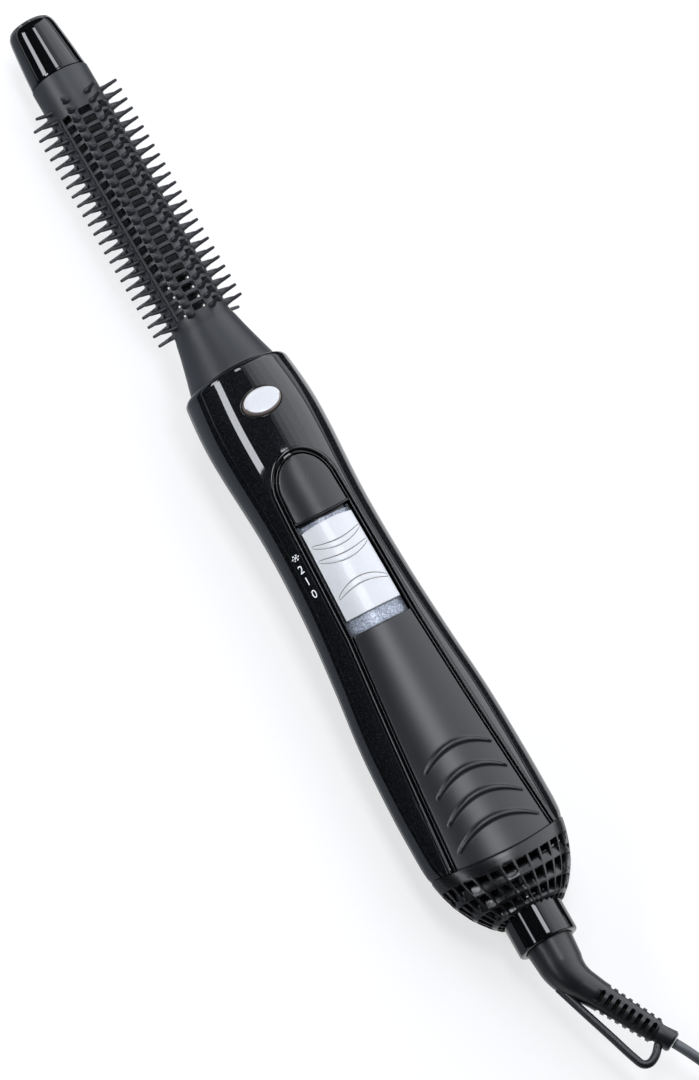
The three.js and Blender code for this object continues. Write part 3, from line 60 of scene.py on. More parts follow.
# %% [markdown]
# Lengths along the handle are counted from the tip's end, and heights from the chord, the straight
# line from the tip's middle to the cord collar's middle. The collar's own box says where the frame
# has that line, so nothing is fitted by eye. The brush climbs a little towards the handle, so its
# pieces are made about their own axis and placed by a second matrix.

# %% Where millimetres go in the frame
MM = 0.001
COLLAR_END = 349.1
BRUSH_RISE = math.radians(3.1)
BRUSH_DROP = 0.6
collar_low, collar_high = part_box("cord_collar")
chord_start = Vector((
    collar_high.x - COLLAR_END * MM, 0, (collar_low.z + collar_high.z) / 2,
))
ON_HANDLE = Matrix.Translation(chord_start) @ Matrix.Scale(MM, 4)
ON_BRUSH = ON_HANDLE @ Matrix.Translation((0, 0, -BRUSH_DROP)) @ Matrix.Rotation(-BRUSH_RISE, 4, "Y")
CHORD_HEIGHT = chord_start.z / MM
print("chord height, mm:", round(CHORD_HEIGHT, 2))

# %% [markdown]
# The photograph was taken from high above, a little from the cord's side and a little from the
# left, with a long lens. A long lens far away keeps the brush's sides parallel, as there.

# %% The camera
TILT = math.radians(12.5)
ROLL = math.radians(12.7)
PICTURE_TURN = math.radians(60.44)
PICTURE_HEIGHT = 1080
PIXELS_PER_MM = 3.10
DISTANCE = 8000
SENSOR = 36
along = Vector((math.cos(TILT), math.sin(TILT) * math.sin(ROLL), -math.sin(TILT) * math.cos(ROLL)))
across = Vector((0, math.cos(ROLL), math.sin(ROLL)))
towards = along.cross(across)
right = math.cos(PICTURE_TURN) * along + math.sin(PICTURE_TURN) * across
up = -math.sin(PICTURE_TURN) * along + math.cos(PICTURE_TURN) * across
look_at = Vector((200.7, 8.4, 0))
bpy.ops.object.camera_add()
camera = bpy.context.object
camera.data.sensor_width = SENSOR
camera.data.lens = PIXELS_PER_MM * DISTANCE / PICTURE_HEIGHT * SENSOR
camera.data.clip_start = 1
camera.data.clip_end = 20
camera_turn = Matrix((right, up, towards)).transposed().to_4x4()
camera.matrix_world = Matrix.Translation(ON_HANDLE @ (look_at + towards * DISTANCE)) @ camera_turn
bpy.context.scene.camera = camera
bpy.context.scene.view_settings.view_transform = "Standard"

# %% [markdown]
# Every finish is a Principled material with a few nodes in front of it. One function turns a
# written sRGB colour to the linear numbers that Blender works with, and one adds a node.

# %% Colours, nodes and materials


def linear(colour):
    """An sRGB hex colour as linear red, green, blue and 1."""
    shares = [int(colour[i:i + 2], 16) / 255 for i in (1, 3, 5)]
    return (*[c / 12.92 if c <= 0.04045 else ((c + 0.055) / 1.055) ** 2.4 for c in shares], 1)


def add_node(material, kind, sockets=None, **settings):
    """Adds a node with its settings; a socket takes a value or another node's output."""
    tree = material.node_tree
    made = tree.nodes.new(kind)
    for name, value in settings.items():
        setattr(made, name, value)
    for name, value in (sockets or {}).items():
        if isinstance(value, bpy.types.NodeSocket):
            tree.links.new(value, made.inputs[name])
        else:
            made.inputs[name].default_value = value
    return made


def new_material(name, **sockets):
    """A material with a Principled shader whose plain values are set on its own sockets."""
    material = bpy.data.materials.new(name)
    material.use_nodes = True
    shader = material.node_tree.nodes["Principled BSDF"]
    for socket, value in sockets.items():
        value = linear(value) if isinstance(value, str) else value
        shader.inputs[socket.replace("_", " ")].default_value = value
    return material, shader


def feed(material, shader, socket, output):
    material.node_tree.links.new(output, shader.inputs[socket])


def grain(material, size, detail=2.0):
    """A noise as coarse as size in millimetres, in the object's own coordinates."""
    place = add_node(material, "ShaderNodeTexCoord")
    sockets = {"Vector": place.outputs["Object"], "Scale": 1 / (size * MM), "Detail": detail}
    return add_node(material, "ShaderNodeTexNoise", sockets)


def bump(material, shader, height, depth, strength=1.0):
    """Roughens a surface by a height pattern that is depth millimetres deep."""
    made = add_node(material, "ShaderNodeBump", {
        "Height": height, "Distance": depth * MM, "Strength": strength,
    })
    feed(material, shader, "Normal", made.outputs["Normal"])


def ramp(material, factor, stops):
    """Colours along a factor: a list of place and sRGB colour."""
    made = add_node(material, "ShaderNodeValToRGB", {"Fac": factor})
    elements = made.color_ramp.elements
    for element, (place, colour) in zip(elements, (stops[0], stops[-1])):
        element.position = place
        element.color = linear(colour)
    for place, colour in stops[1:-1]:
        elements.new(place).color = linear(colour)
    return made.outputs["Color"]


# %% [markdown]
# ## The plastics
# The barrel and cone are glass-filled PBT, moulded in a spark-eroded tool: satin, with a grain of
# about a third of a millimetre that spreads the light. The grain is drawn a little coarser than
# it is, so that it shows. The same satin in ABS covers the inlays.

# %% Satin plastics
CLOUD_SIZE, CLOUD_DETAIL = 14, 3  # the slow unevenness of a moulded face, a fingertip across


def satin_plastic(name, dark, light, roughness, grain_size, depth):
    """A plastic between two near colours, with a grain of a size and a depth in millimetres."""
    material, shader = new_material(name, Roughness=roughness)
    speckle = grain(material, grain_size)
    cloud = grain(material, CLOUD_SIZE, CLOUD_DETAIL)
    mixed = add_node(material, "ShaderNodeMath", {
        0: speckle.outputs["Fac"], 1: cloud.outputs["Fac"],
    }, operation="ADD")
    half = add_node(material, "ShaderNodeMath", {0: mixed.outputs[0], 1: 0.5}, operation="MULTIPLY")
    feed(material, shader, "Base Color", ramp(material, half.outputs[0], [(0.35, dark), (0.65, light)]))
    bump(material, shader, speckle.outputs["Fac"], depth)
    return material


# the brush's barrel and cone
PBT_SATIN = satin_plastic("moulded_pbt_satin", "#1b1d20", "#222428", 0.46, 0.35, 0.012)
# the grip panel and the upper inlay: a little smoother and darker
ABS_SATIN = satin_plastic("moulded_abs_satin", "#131517", "#191b1e", 0.34, 0.3, 0.006)
# the grille: darker and smoother again
GRILLE_ABS = satin_plastic("moulded_abs_grille", "#0a0b0d", "#101113", 0.26, 0.4, 0.006)
# soft PVC of the strain relief, its loop and the plug
PVC_SOFT = satin_plastic("soft_pvc_matt", "#131417", "#1a1b1e", 0.36, 0.3, 0.01)
# the cord's sheath, greyer than the relief that it comes out of
CORD_PVC = satin_plastic("cord_pvc_satin", "#4a4d51", "#56595d", 0.36, 0.5, 0.008)

# %% [markdown]
# The tip and the collar are plain gloss black, moulded in a polished tool. The shells are gloss
# too, but their plastic holds fine metal flakes under the polished skin: the flakes glint where
# the light nears a reflection. The flakes are cells of about a seventh of a millimetre, coarser
# than real, and a clear coat over them keeps the reflections sharp.

# %% Gloss plastics
GLOSS, gloss_shader = new_material("polished_abs_black", Base_Color="#08090a", Roughness=0.035)
GLOSS_WAVE, DUST_SIZE = 9, 0.6
gloss_wave = grain(GLOSS, GLOSS_WAVE, 1)
bump(GLOSS, gloss_shader, gloss_wave.outputs["Fac"], 0.02)
gloss_dust = grain(GLOSS, DUST_SIZE)
feed(GLOSS, gloss_shader, "Base Color", ramp(
    GLOSS, gloss_dust.outputs["Fac"], [(0.4, "#060708"), (0.7, "#0b0c0e")],
))

FLAKE, flake_shader = new_material(
    "flake_abs_black", Roughness=0.5, Specular_IOR_Level=0.04, Coat_Weight=1.0, Coat_Roughness=0.03,
)
flake_place = add_node(FLAKE, "ShaderNodeTexCoord")
FLAKE_SIZE = 0.14
flake_cells = add_node(FLAKE, "ShaderNodeTexVoronoi", {
    "Vector": flake_place.outputs["Object"], "Scale": 1 / (FLAKE_SIZE * MM),
})
feed(FLAKE, flake_shader, "Base Color", ramp(
    FLAKE, flake_cells.outputs["Color"], [(0.5, "#020304"), (0.76, "#0e1013"), (0.96, "#2f343b")],
))

# %% [markdown]
# The slider and the release button are ABS with a pale pearl lacquer. Their shaded sides and the
# lines in the slider's grooves are painted shade, a brownish grey. The track under the slider has a
# coarse silver-blue lacquer whose flakes can be told apart. The scale is pad-printed in white ink.

# %% Lacquers and ink


def lacquer(name, stops, roughness, flake, metallic):
    """A lacquer whose flakes are flake millimetres across, each with a colour of the stops."""
    material, shader = new_material(name, Roughness=roughness, Metallic=metallic, Coat_Weight=0.3)
    place = add_node(material, "ShaderNodeTexCoord")
    cells = add_node(material, "ShaderNodeTexVoronoi", {
        "Vector": place.outputs["Object"], "Scale": 1 / (flake * MM),
    })
    feed(material, shader, "Base Color", ramp(material, cells.outputs["Color"], stops))
    bump(material, shader, cells.outputs["Distance"], 0.004)
    return material


PEARL = lacquer("pearl_lacquer", [(0.2, "#bbbdc0"), (0.8, "#c6c8cb")], 0.42, 0.15, 0.1)
TRACK = lacquer(
    "silver_blue_lacquer", [(0.2, "#646a74"), (0.5, "#858c98"), (0.8, "#a8afbc")], 0.42, 0.3, 0.45,
)
# painted shade: the brownish grey for the slider's and the button's shaded sides and groove lines
EDGE = satin_plastic("painted_shade_brown", "#5d5550", "#6f6660", 0.5, 0.4, 0.01)
INK, ink_shader = new_material("pad_print_white", Base_Color="#f2f3f4", Roughness=0.5)
ink_grain = grain(INK, 0.2)
feed(INK, ink_shader, "Base Color", ramp(INK, ink_grain.outputs["Fac"], [(0.3, "#e6e8ea"), (0.7, "#f8f9fa")]))

# %% [markdown]
# ## Helpers that model
# A lathe starts from one point, pulls it along the profile by extruding, and spins that line about
# the X axis. A skin starts from a flat grid and moves each of its points to a place that a
# function gives, as when a sheet is laid over a form.

# %% Small modelling helpers


def alone(piece):
    """Selects one piece only and makes it active."""
    bpy.ops.object.select_all(action="DESELECT")
    piece.select_set(True)
    bpy.context.view_layer.objects.active = piece


def pick(piece, kind, test):
    """In edit mode, selects the faces, edges or points that pass a test of their place."""
    bpy.ops.mesh.select_mode(type=kind)
    bpy.ops.mesh.select_all(action="DESELECT")
    mesh = bmesh.from_edit_mesh(piece.data)
    for part in {"VERT": mesh.verts, "EDGE": mesh.edges, "FACE": mesh.faces}[kind]:
        if test(part):
            part.select_set(True)
    mesh.select_flush_mode()
    bmesh.update_edit_mesh(piece.data)


def clean(recalculate=True, distance=0.0005):
    """In edit mode, merges doubles and turns the faces outwards."""
    bpy.ops.mesh.select_all(action="SELECT")
    bpy.ops.mesh.remove_doubles(threshold=distance)
    if recalculate:
        bpy.ops.mesh.normals_make_consistent(inside=False)


def modify(piece, kind, **settings):
    """Adds a modifier with its settings and applies it."""
    alone(piece)
    modifier = piece.modifiers.new(kind.lower(), kind)
    for name, value in settings.items():
        setattr(modifier, name, value)
    bpy.ops.object.modifier_apply(modifier=modifier.name)


def lathe(name, profile, steps=64):
    """A turned piece about X from a profile of place and radius."""
    bpy.ops.mesh.primitive_plane_add(size=1)
    piece = bpy.context.object
    piece.name = name
    bpy.ops.object.mode_set(mode="EDIT")
    bpy.ops.mesh.select_mode(type="VERT")
    bpy.ops.mesh.merge(type="CENTER")
    x, radius = profile[0]
    bpy.ops.transform.translate(value=(x, 0, radius))
    for next_x, next_radius in profile[1:]:
        step = (next_x - x, 0, next_radius - radius)
        bpy.ops.mesh.extrude_region_move(TRANSFORM_OT_translate={"value": step})
        x, radius = next_x, next_radius
    bpy.ops.mesh.select_all(action="SELECT")
    bpy.ops.mesh.spin(steps=steps, angle=2 * math.pi, center=(0, 0, 0), axis=(1, 0, 0))
    clean()
    bpy.ops.object.mode_set(mode="OBJECT")
    return piece


def face_out(piece):
    """Turns the faces of an open sheet round the X axis away from the axis."""
    outwards = sum(
        face.normal.y * face.center.y + face.normal.z * face.center.z for face in piece.data.polygons
    )
    if outwards < 0:
        piece.data.flip_normals()


def skin(name, columns, rows, place, close=False):
    """A grid of columns by rows faces whose point (i, j) is moved to place(i, j)."""
    bpy.ops.mesh.primitive_grid_add(x_subdivisions=columns, y_subdivisions=rows, size=1)
    piece = bpy.context.object
    piece.name = name
    for point in piece.data.vertices:
        i = round((point.co.x + 0.5) * columns)
        j = round((point.co.y + 0.5) * rows)
        point.co = place(i, j)
    bpy.ops.object.mode_set(mode="EDIT")
    clean(recalculate=close)
    bpy.ops.object.mode_set(mode="OBJECT")
    return piece


def joined(name, pieces):
    """Several pieces made one."""
    bpy.ops.object.select_all(action="DESELECT")
    for piece in pieces:
        piece.select_set(True)
    bpy.context.view_layer.objects.active = pieces[0]
    bpy.ops.object.join()
    pieces[0].name = name
    return pieces[0]


def copy_of(piece, matrix):
    """A copy with its own mesh, moved by a matrix."""
    twin = piece.copy()
    twin.data = piece.data.copy()
    twin.data.transform(matrix)
    bpy.context.collection.objects.link(twin)
    return twin


def finish_piece(piece, material, body, place=ON_HANDLE, nodes=(), angle=35):
    """Gives a piece its finish, shading, place in the frame, body and the nodes it stands for."""
    alone(piece)
    if not piece.data.materials:
        piece.data.materials.append(material)
    bpy.ops.object.shade_smooth_by_angle(angle=math.radians(angle))
    piece.data.transform(piece.matrix_world)
    piece.matrix_world = Matrix.Identity(4)
    piece.data.transform(place)
    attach(piece, body)
    if nodes:
        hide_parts(*nodes)
    print(piece.name, len(piece.data.polygons), "faces")
    return piece


def paint_faces(piece, material, test):
    """Gives the faces that pass a test a material of their own."""
    piece.data.materials.append(material)
    last = len(piece.data.materials) - 1
    for face in piece.data.polygons:
        if test(face):
            face.material_index = last


def smooth_line(points, per_span):
    """Points on a smooth curve through the given ones, whose bends follow their spacing."""
    points = [Vector(p) for p in points]
    padded = [2 * points[0] - points[1], *points, 2 * points[-1] - points[-2]]
    line = []
    for a, b, c, d in zip(padded, padded[1:], padded[2:], padded[3:]):
        before, here, after = [max((q - p).length, 1e-6) ** 0.5 for p, q in ((a, b), (b, c), (c, d))]
        leave = here * ((b - a) / before - (c - a) / (before + here) + (c - b) / here)
        arrive = here * ((c - b) / here - (d - b) / (here + after) + (d - c) / after)
        for step in range(per_span):
            t = step / per_span
            line.append(
                (2 * t**3 - 3 * t**2 + 1) * b + (t**3 - 2 * t**2 + t) * leave
                + (3 * t**2 - 2 * t**3) * c + (t**3 - t**2) * arrive
            )
    return [*line, points[-1]]


def tube(name, line, radii, sides=12):
    """A round tube along a line of points, closed at both ends."""
    data = bpy.data.curves.new(name, "CURVE")
    data.dimensions = "3D"
    data.use_fill_caps = True
    data.bevel_depth = 1
    data.bevel_resolution = max(0, sides // 4 - 1)
    spline = data.splines.new("POLY")
    spline.points.add(len(line) - 1)
    for point, place, radius in zip(spline.points, line, radii):
        point.co = (*place, 1)
        point.radius = radius
    piece = bpy.data.objects.new(name, data)
    bpy.context.collection.objects.link(piece)
    alone(piece)
    bpy.ops.object.convert(target="MESH")
    piece = bpy.context.object
    bpy.ops.object.mode_set(mode="EDIT")
    clean()
    bpy.ops.object.mode_set(mode="OBJECT")
    return piece


def lerp(a, b, t):
    return a + (b - a) * t


def smoothstep(t):
    t = min(max(t, 0), 1)
    return t * t * (3 - 2 * t)


# %% [markdown]
# ## The cord
# The cord leaves the strain relief at a slant, comes down to the table and is wound into a coil
# just outside the picture, with its plug beside it. A flat hand-wound coil goes inwards turn by
# turn, steps up one cord and comes outwards again, four layers high. The points below are the
# CAD model's own route.

# %% The strain relief's line and the cord's route
BEND = math.radians(29)
BEND_X = 361.1
BEND_RADIUS = 16
RELIEF_RUN = 40.4
BEND_REACH = BEND_RADIUS * math.tan(BEND / 2)
STRAIGHT = BEND_X - BEND_REACH - COLLAR_END
CURVED = BEND_RADIUS * BEND
RELIEF_LENGTH = STRAIGHT + CURVED + RELIEF_RUN - BEND_REACH
heading = Vector((math.cos(BEND), math.sin(BEND), 0))


def relief_frame(distance):
    """The place and direction of the strain relief's middle, so far from the collar's end."""
    if distance < STRAIGHT:
        return Vector((COLLAR_END + distance, 0, 0)), 0
    turn = min((distance - STRAIGHT) / BEND_RADIUS, BEND)
    place = Vector((
        COLLAR_END + STRAIGHT + BEND_RADIUS * math.sin(turn), BEND_RADIUS * (1 - math.cos(turn)), 0,
    ))
    return place + heading * max(distance - STRAIGHT - CURVED, 0), turn


CORD_DIAMETER, EXIT_GAP = 3.6, 0.3
COIL_LIFT = 3  # the middle of the coil's lowest turn above the table
cord_exit = relief_frame(RELIEF_LENGTH)[0] + EXIT_GAP * heading
FLOOR = COIL_LIFT - CHORD_HEIGHT
COIL_X, COIL_Y, COIL_INNER, COIL_PITCH = 447, 20, 14.4, 4.2
COIL_TURNS, COIL_LAYERS = 13 + 1 / 12, 4
COIL_START = math.radians(120)
PER_LAYER = COIL_TURNS / COIL_LAYERS
COIL_OUTER = COIL_INNER + PER_LAYER * COIL_PITCH
STRETCH = [(400.5, 21.9, -0.1), (405, 24.6, -1.4), (411, 28.4, -4.7), (417, 32.6, -8.9)]
TAIL = [(462, 45, -1.5), (470, 39.6, -5), (479, 34.6, -8)]
PLUG_X, PLUG_Y, PLUG_LENGTH, PLUG_HEIGHT, PLUG_GAP = 489, 33, 36, 13.7, 0.05
PLUG_Z = PLUG_HEIGHT / 2 + PLUG_GAP - CHORD_HEIGHT
STEPS_PER_TURN = 28


def coil_point(turn):
    """The cord's middle after so many turns of the coil."""
    layer = min(math.floor(turn / PER_LAYER), COIL_LAYERS - 1)
    within = turn / PER_LAYER - layer
    inwards = within if layer % 2 == 0 else 1 - within
    radius = COIL_OUTER - inwards * PER_LAYER * COIL_PITCH
    rise = sum(smoothstep((turn - k * PER_LAYER) / 0.5 + 0.5) for k in range(1, COIL_LAYERS))
    turned = COIL_START - 2 * math.pi * turn
    return Vector((
        COIL_X + radius * math.cos(turned), COIL_Y + radius * math.sin(turned),
        FLOOR + rise * COIL_PITCH,
    ))


def straight_on(end, inner, distance):
    """A place past the end of a line, in the direction from its inner point."""
    return end + (end - inner).normalized() * distance


coil_count = round(COIL_TURNS * STEPS_PER_TURN)
coil = [coil_point(i * COIL_TURNS / coil_count) for i in range(coil_count + 1)]
lead_in = [straight_on(coil[0], coil[1], CORD_DIAMETER * share) for share in (2.5, 1)]
lead_out = [straight_on(coil[-1], coil[-2], CORD_DIAMETER * share) for share in (1, 2.5)]
stretch = smooth_line([cord_exit, *STRETCH, *lead_in, coil[0]], 4)
tail = smooth_line([coil[-1], *lead_out, *TAIL, (PLUG_X + 1, PLUG_Y, PLUG_Z)], 4)
cord_line = stretch[:-1] + coil + tail[1:]
cord_length = sum((b - a).length for a, b in zip(cord_line, cord_line[1:]))
print("cord length, mm:", round(cord_length), "from", len(cord_line), "points")

# %% [markdown]
# The cord is a round tube along that route, baked into the frame as one fixed piece, though on
# the real brush its first stretch turns with the strain relief.

# %% The cord itself
cord = tube("mains_cord", cord_line, [CORD_DIAMETER / 2] * len(cord_line), 16)
alone(cord)
cord.data.materials.append(CORD_PVC)
bpy.ops.object.shade_smooth()
cord.data.transform(ON_HANDLE)
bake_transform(cord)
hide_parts("cord_stretch", "cord_coil", "cord_tail")

# %% [markdown]
# The plug is a moulded contour plug: a thin neck that swells to a flat oblong body with finger
# ridges on its two broad faces. Its rings are superellipses, laid over a grid.

# %% The plug
PLUG_RINGS = [
    (0, 3.0, 3.0), (0.5, 3.4, 3.4), (3, 3.5, 3.5), (3.4, 3.1, 3.1), (4.4, 3.1, 3.1), (4.8, 3.6, 3.5),
    (9, 4.0, 3.8), (13, 7.5, 5), (16, 10.4, 5.7), (19, 13, 6.2), (23, 15.9, 6.6), (27, 17.65, 6.85),
    (34.6, 17.65, 6.85), (35.6, 17.3, 6.5), (36, 16.4, 5.8), (36, 14.6, 4.6), (35.5, 14.4, 4.4),
    (35.5, 0, 0),
]
PLUG_AROUND, PLUG_SQUARE = 48, 0.6
RIDGES, RIDGE_AHEAD, RIDGE_PITCH, RIDGE_RISE, RIDGE_SINK = 5, 31, 2.2, 6.45, 0.06
RIDGE_WIDE, RIDGE_LONG, RIDGE_SHORTER, RIDGE_TALL = 0.9, 15, 1.2, 1.0


def plug_point(i, j):
    along_plug, half, rise = PLUG_RINGS[i - 1] if i else (0, 0, 0)
    angle = 2 * math.pi * j / PLUG_AROUND
    square = [
        math.copysign(abs(value) ** PLUG_SQUARE, value) for value in (math.cos(angle), math.sin(angle))
    ]
    return (PLUG_X + along_plug, PLUG_Y + half * square[0], PLUG_Z + rise * square[1])


plug = skin("mains_plug", len(PLUG_RINGS), PLUG_AROUND, plug_point, close=True)
ridges = []
for side in (-1, 1):
    for k in range(RIDGES):
        bpy.ops.mesh.primitive_cube_add(size=1)
        ridge = bpy.context.object
        ridge.scale = (RIDGE_WIDE, RIDGE_LONG - RIDGE_SHORTER * k, RIDGE_TALL)
        ridge.location = (
            PLUG_X + RIDGE_AHEAD - RIDGE_PITCH * k, PLUG_Y, PLUG_Z + side * (RIDGE_RISE - RIDGE_SINK * k),
        )
        bpy.ops.object.transform_apply(location=True, rotation=False, scale=True)
        modify(ridge, "BEVEL", width=0.3, segments=2)
        ridges.append(ridge)
plug = joined("mains_plug", [plug, *ridges])
finish_piece(plug, PVC_SOFT, "handle", nodes=["plug_body"])

# %% [markdown]
# Turned and drawn metal is never quite even: fine scratches change its tone and its sheen from
# place to place. One noise drives both, so a bright scratch is also a rougher one.

# %% Brass, steel and the plug's pins


def metal(name, dark, light, roughness, brushed):
    """A metal between two near tones, with scratches of about brushed millimetres."""
    material, shader = new_material(name, Metallic=1.0)
    scratches = grain(material, brushed, 4)
    tones = ramp(material, scratches.outputs["Fac"], [(0.3, dark), (0.7, light)])
    feed(material, shader, "Base Color", tones)
    worn = add_node(material, "ShaderNodeMapRange", {
        "Value": scratches.outputs["Fac"], "To Min": roughness - 0.06, "To Max": roughness + 0.08,
    })
    feed(material, shader, "Roughness", worn.outputs["Result"])
    return material


# the plug's pins, which have a black sleeve next to the body
BRASS = metal("nickel_plated_brass", "#b9a36a", "#cdb985", 0.28, 1.2)
# the tip's screw, the spring, the shaft and the can: a cool, even grey
STEEL = metal("zinc_plated_steel", "#9a9da1", "#b4b7ba", 0.32, 1.0)
PIN_LENGTH, PIN_RADIUS, PIN_SPACING, SLEEVE_LENGTH = 19, 2.0, 18.6, 9.5
for index, side in enumerate((-1, 1), start=1):
    start = PLUG_X + PLUG_LENGTH - 0.6
    pin = lathe(f"plug_contact_{index}", [
        (start, 0), (start, PIN_RADIUS), (start + SLEEVE_LENGTH, PIN_RADIUS),
        (start + SLEEVE_LENGTH + 0.2, PIN_RADIUS - 0.12), (start + PIN_LENGTH - 1.1, PIN_RADIUS - 0.12),
        (start + PIN_LENGTH - 0.2, 1.5), (start + PIN_LENGTH + 0.4, 0.8), (start + PIN_LENGTH + 0.6, 0),
    ], 24)
    pin.location = (0, PLUG_Y + side * PIN_SPACING / 2, PLUG_Z)
    bpy.ops.object.transform_apply(location=True)
    pin.data.materials.append(BRASS)
    paint_faces(pin, PVC_SOFT, lambda face: face.center.x < start + SLEEVE_LENGTH)
    finish_piece(pin, BRASS, "handle", nodes=[f"plug_pin_{index}"])

# %% [markdown]
# A strap of hook-and-loop tape holds the coil. It is a flat band bent round the coil's oblong
# cross-section, so a grid goes once round a rounded rectangle and once round the band's edge.

# %% The tie
TIE_TURN = math.radians(-60)
TIE_WIDTH, TIE_THICKNESS, TIE_CORNER, TIE_SLACK = 5, 0.8, 2.4, 0.3
tie_gap = CORD_DIAMETER / 2 + TIE_SLACK
tie_box = [
    COIL_INNER - tie_gap, COIL_OUTER + tie_gap,
    FLOOR - tie_gap, FLOOR + (COIL_LAYERS - 1) * COIL_PITCH + tie_gap,
]
TIE_STEPS = 8


def tie_outline(grow):
    """A rounded rectangle round the coil's cross-section, grown outwards."""
    x0, x1, z0, z1 = tie_box
    radius = TIE_CORNER + grow
    corners = [(x1, z0, -90), (x1, z1, 0), (x0, z1, 90), (x0, z0, 180)]
    points = []
    for x, z, first in corners:
        middle_x = x + (-TIE_CORNER if x == x1 else TIE_CORNER)
        middle_z = z + (-TIE_CORNER if z == z1 else TIE_CORNER)
        for step in range(TIE_STEPS + 1):
            turn = math.radians(first + 90 * step / TIE_STEPS)
            points.append((middle_x + radius * math.cos(turn), middle_z + radius * math.sin(turn)))
    return [*points, points[0]]


tie_inner, tie_outer = tie_outline(0), tie_outline(TIE_THICKNESS)


def tie_point(i, j):
    outline, side = [(tie_inner, -1), (tie_outer, -1), (tie_outer, 1), (tie_inner, 1), (tie_inner, -1)][j]
    radius, height = outline[i]
    swing = Vector((radius, side * TIE_WIDTH / 2, height))
    return Matrix.Translation((COIL_X, COIL_Y, 0)) @ Matrix.Rotation(TIE_TURN, 4, "Z") @ swing


tie = skin("coil_strap", len(tie_inner) - 1, 4, tie_point, close=True)
# nylon tape: dull, with a coarse, deep grain for its hooks
STRAP = satin_plastic("hook_and_loop_nylon", "#15161a", "#24262b", 0.8, 0.5, 0.15)
finish_piece(tie, STRAP, "handle", nodes=["cord_tie"])

# %% [markdown]
# ## The handle
# The handle is two moulded half shells. Its sections are ovals whose width, crown and belly change
# along it, so the surface is a function of a place along the handle and an angle round it, on a
# smooth curve through nine measured stations. Past the last station it rounds off as a dome.

# %% The handle's surface
STATION_PLACES = [137.7, 140.2, 158, 191, 219, 242, 266, 290, 306]
STATIONS = {
    "half": [17.3, 18.7, 20.0, 18.7, 19.4, 21.2, 23.6, 24.6, 24.7],
    "centre": [7.0, 7.2, 7.9, 7.8, 6.8, 4.9, 2.5, 1.2, 1.0],
    "crown": [16.8, 18.2, 18.3, 16.5, 15.9, 15.3, 15.0, 15.1, 15.2],
    "belly": [17.0, 18.3, 19.0, 17.6, 17.0, 16.9, 16.9, 17.8, 17.5],
}
DOME_START, DOME_LENGTH, DOME_WALL, DOME_END = 306, 36, 1.8, 337.9
COLLAR_RADIUS = 10.4
COLLAR_SHARE = COLLAR_RADIUS / STATIONS["half"][-1]
SEAM_X, SEAM_BOW, GAP = 314.2, 0.018, 0.3
MOUTH, LIP_END, LIP_DEPTH, SHELL_WALL = 137.7, 140.2, 1.7, 1.8


def size_at(x, key):
    """One of the sections' sizes at a place, on a smooth curve through the stations."""
    places, values = STATION_PLACES, STATIONS[key]
    last = len(places) - 1
    x = min(max(x, places[0]), places[last])
    i = min(max(k for k in range(last + 1) if places[k] <= x), last - 1)
    if i == 0:
        return lerp(values[0], values[1], smoothstep((x - places[0]) / (places[1] - places[0])))

    def slope(k):
        before, after = max(k - 1, 0), min(k + 1, last)
        return (values[after] - values[before]) / (places[after] - places[before])

    span = places[i + 1] - places[i]
    t = (x - places[i]) / span
    return (
        (2 * t**3 - 3 * t**2 + 1) * values[i] + (t**3 - 2 * t**2 + t) * slope(i) * span
        + (3 * t**2 - 2 * t**3) * values[i + 1] + (t**3 - t**2) * slope(i + 1) * span
    )


def fullness(x):
    """1 along the handle, falling over the dome to 0 where it meets the collar."""
    roundness = math.sqrt(max(0, 1 - (max(x - DOME_START, 0) / DOME_LENGTH) ** 2))
    return max(0, (roundness - COLLAR_SHARE) / (1 - COLLAR_SHARE))


def surface(x, angle, inset=0, sized_at=None):
    """A point of the handle's surface, moved inwards by inset; sized_at takes another place's size."""
    full = fullness(x)
    here = x if sized_at is None else sized_at
    sizes = {
        key: COLLAR_RADIUS + (size_at(here, key) - COLLAR_RADIUS) * full - inset
        for key in ("half", "crown", "belly")
    }
    height = math.sin(angle) * (sizes["crown"] if math.sin(angle) >= 0 else sizes["belly"])
    z = max(size_at(here, "centre") * full + height, inset - CHORD_HEIGHT)
    return Vector((x, math.cos(angle) * sizes["half"], z))


def seam_at(z):
    """Where the bowed seam between shells and grille lies at a height."""
    return SEAM_X + SEAM_BOW * max(z, 0) ** 2


def top_height(x, y, inset=0):
    """The height of the button side's surface at a place seen from above."""
    share = min(abs(y) / (size_at(x, "half") - inset), 1)
    return size_at(x, "centre") + (size_at(x, "crown") - inset) * math.sqrt(1 - share**2)


# %% [markdown]
# Each half shell starts as a skin over half of that surface. At the mouth the skin turns over a
# rounded lip, and along the parting line it falls away a little, which leaves the fine groove
# that two mouldings always show. Solidify gives the wall, and the openings are cut afterwards.

# %% The two half shells
LIP_REACH = 2.5  # from the mouth to where the lip has rounded over
LIP = [(1.0, 2.2)] + [  # behind the mouth, under the surface
    (LIP_REACH - LIP_REACH * math.sin(math.radians(turn)), LIP_DEPTH * (1 - math.cos(math.radians(turn))))
    for turn in (90, 78, 66, 54, 42, 30, 20, 10, 0)
]
LONG_STEPS, ROUND_STEPS = 84, 56
PART_ZONE, PART_HALF_GAP, REAR_FALL = 1.8, 0.06, 0.3
PART_EDGE = [(0, 0.35), (0.4, 0.14), (1.0, 0.03), (1.8, 0)]


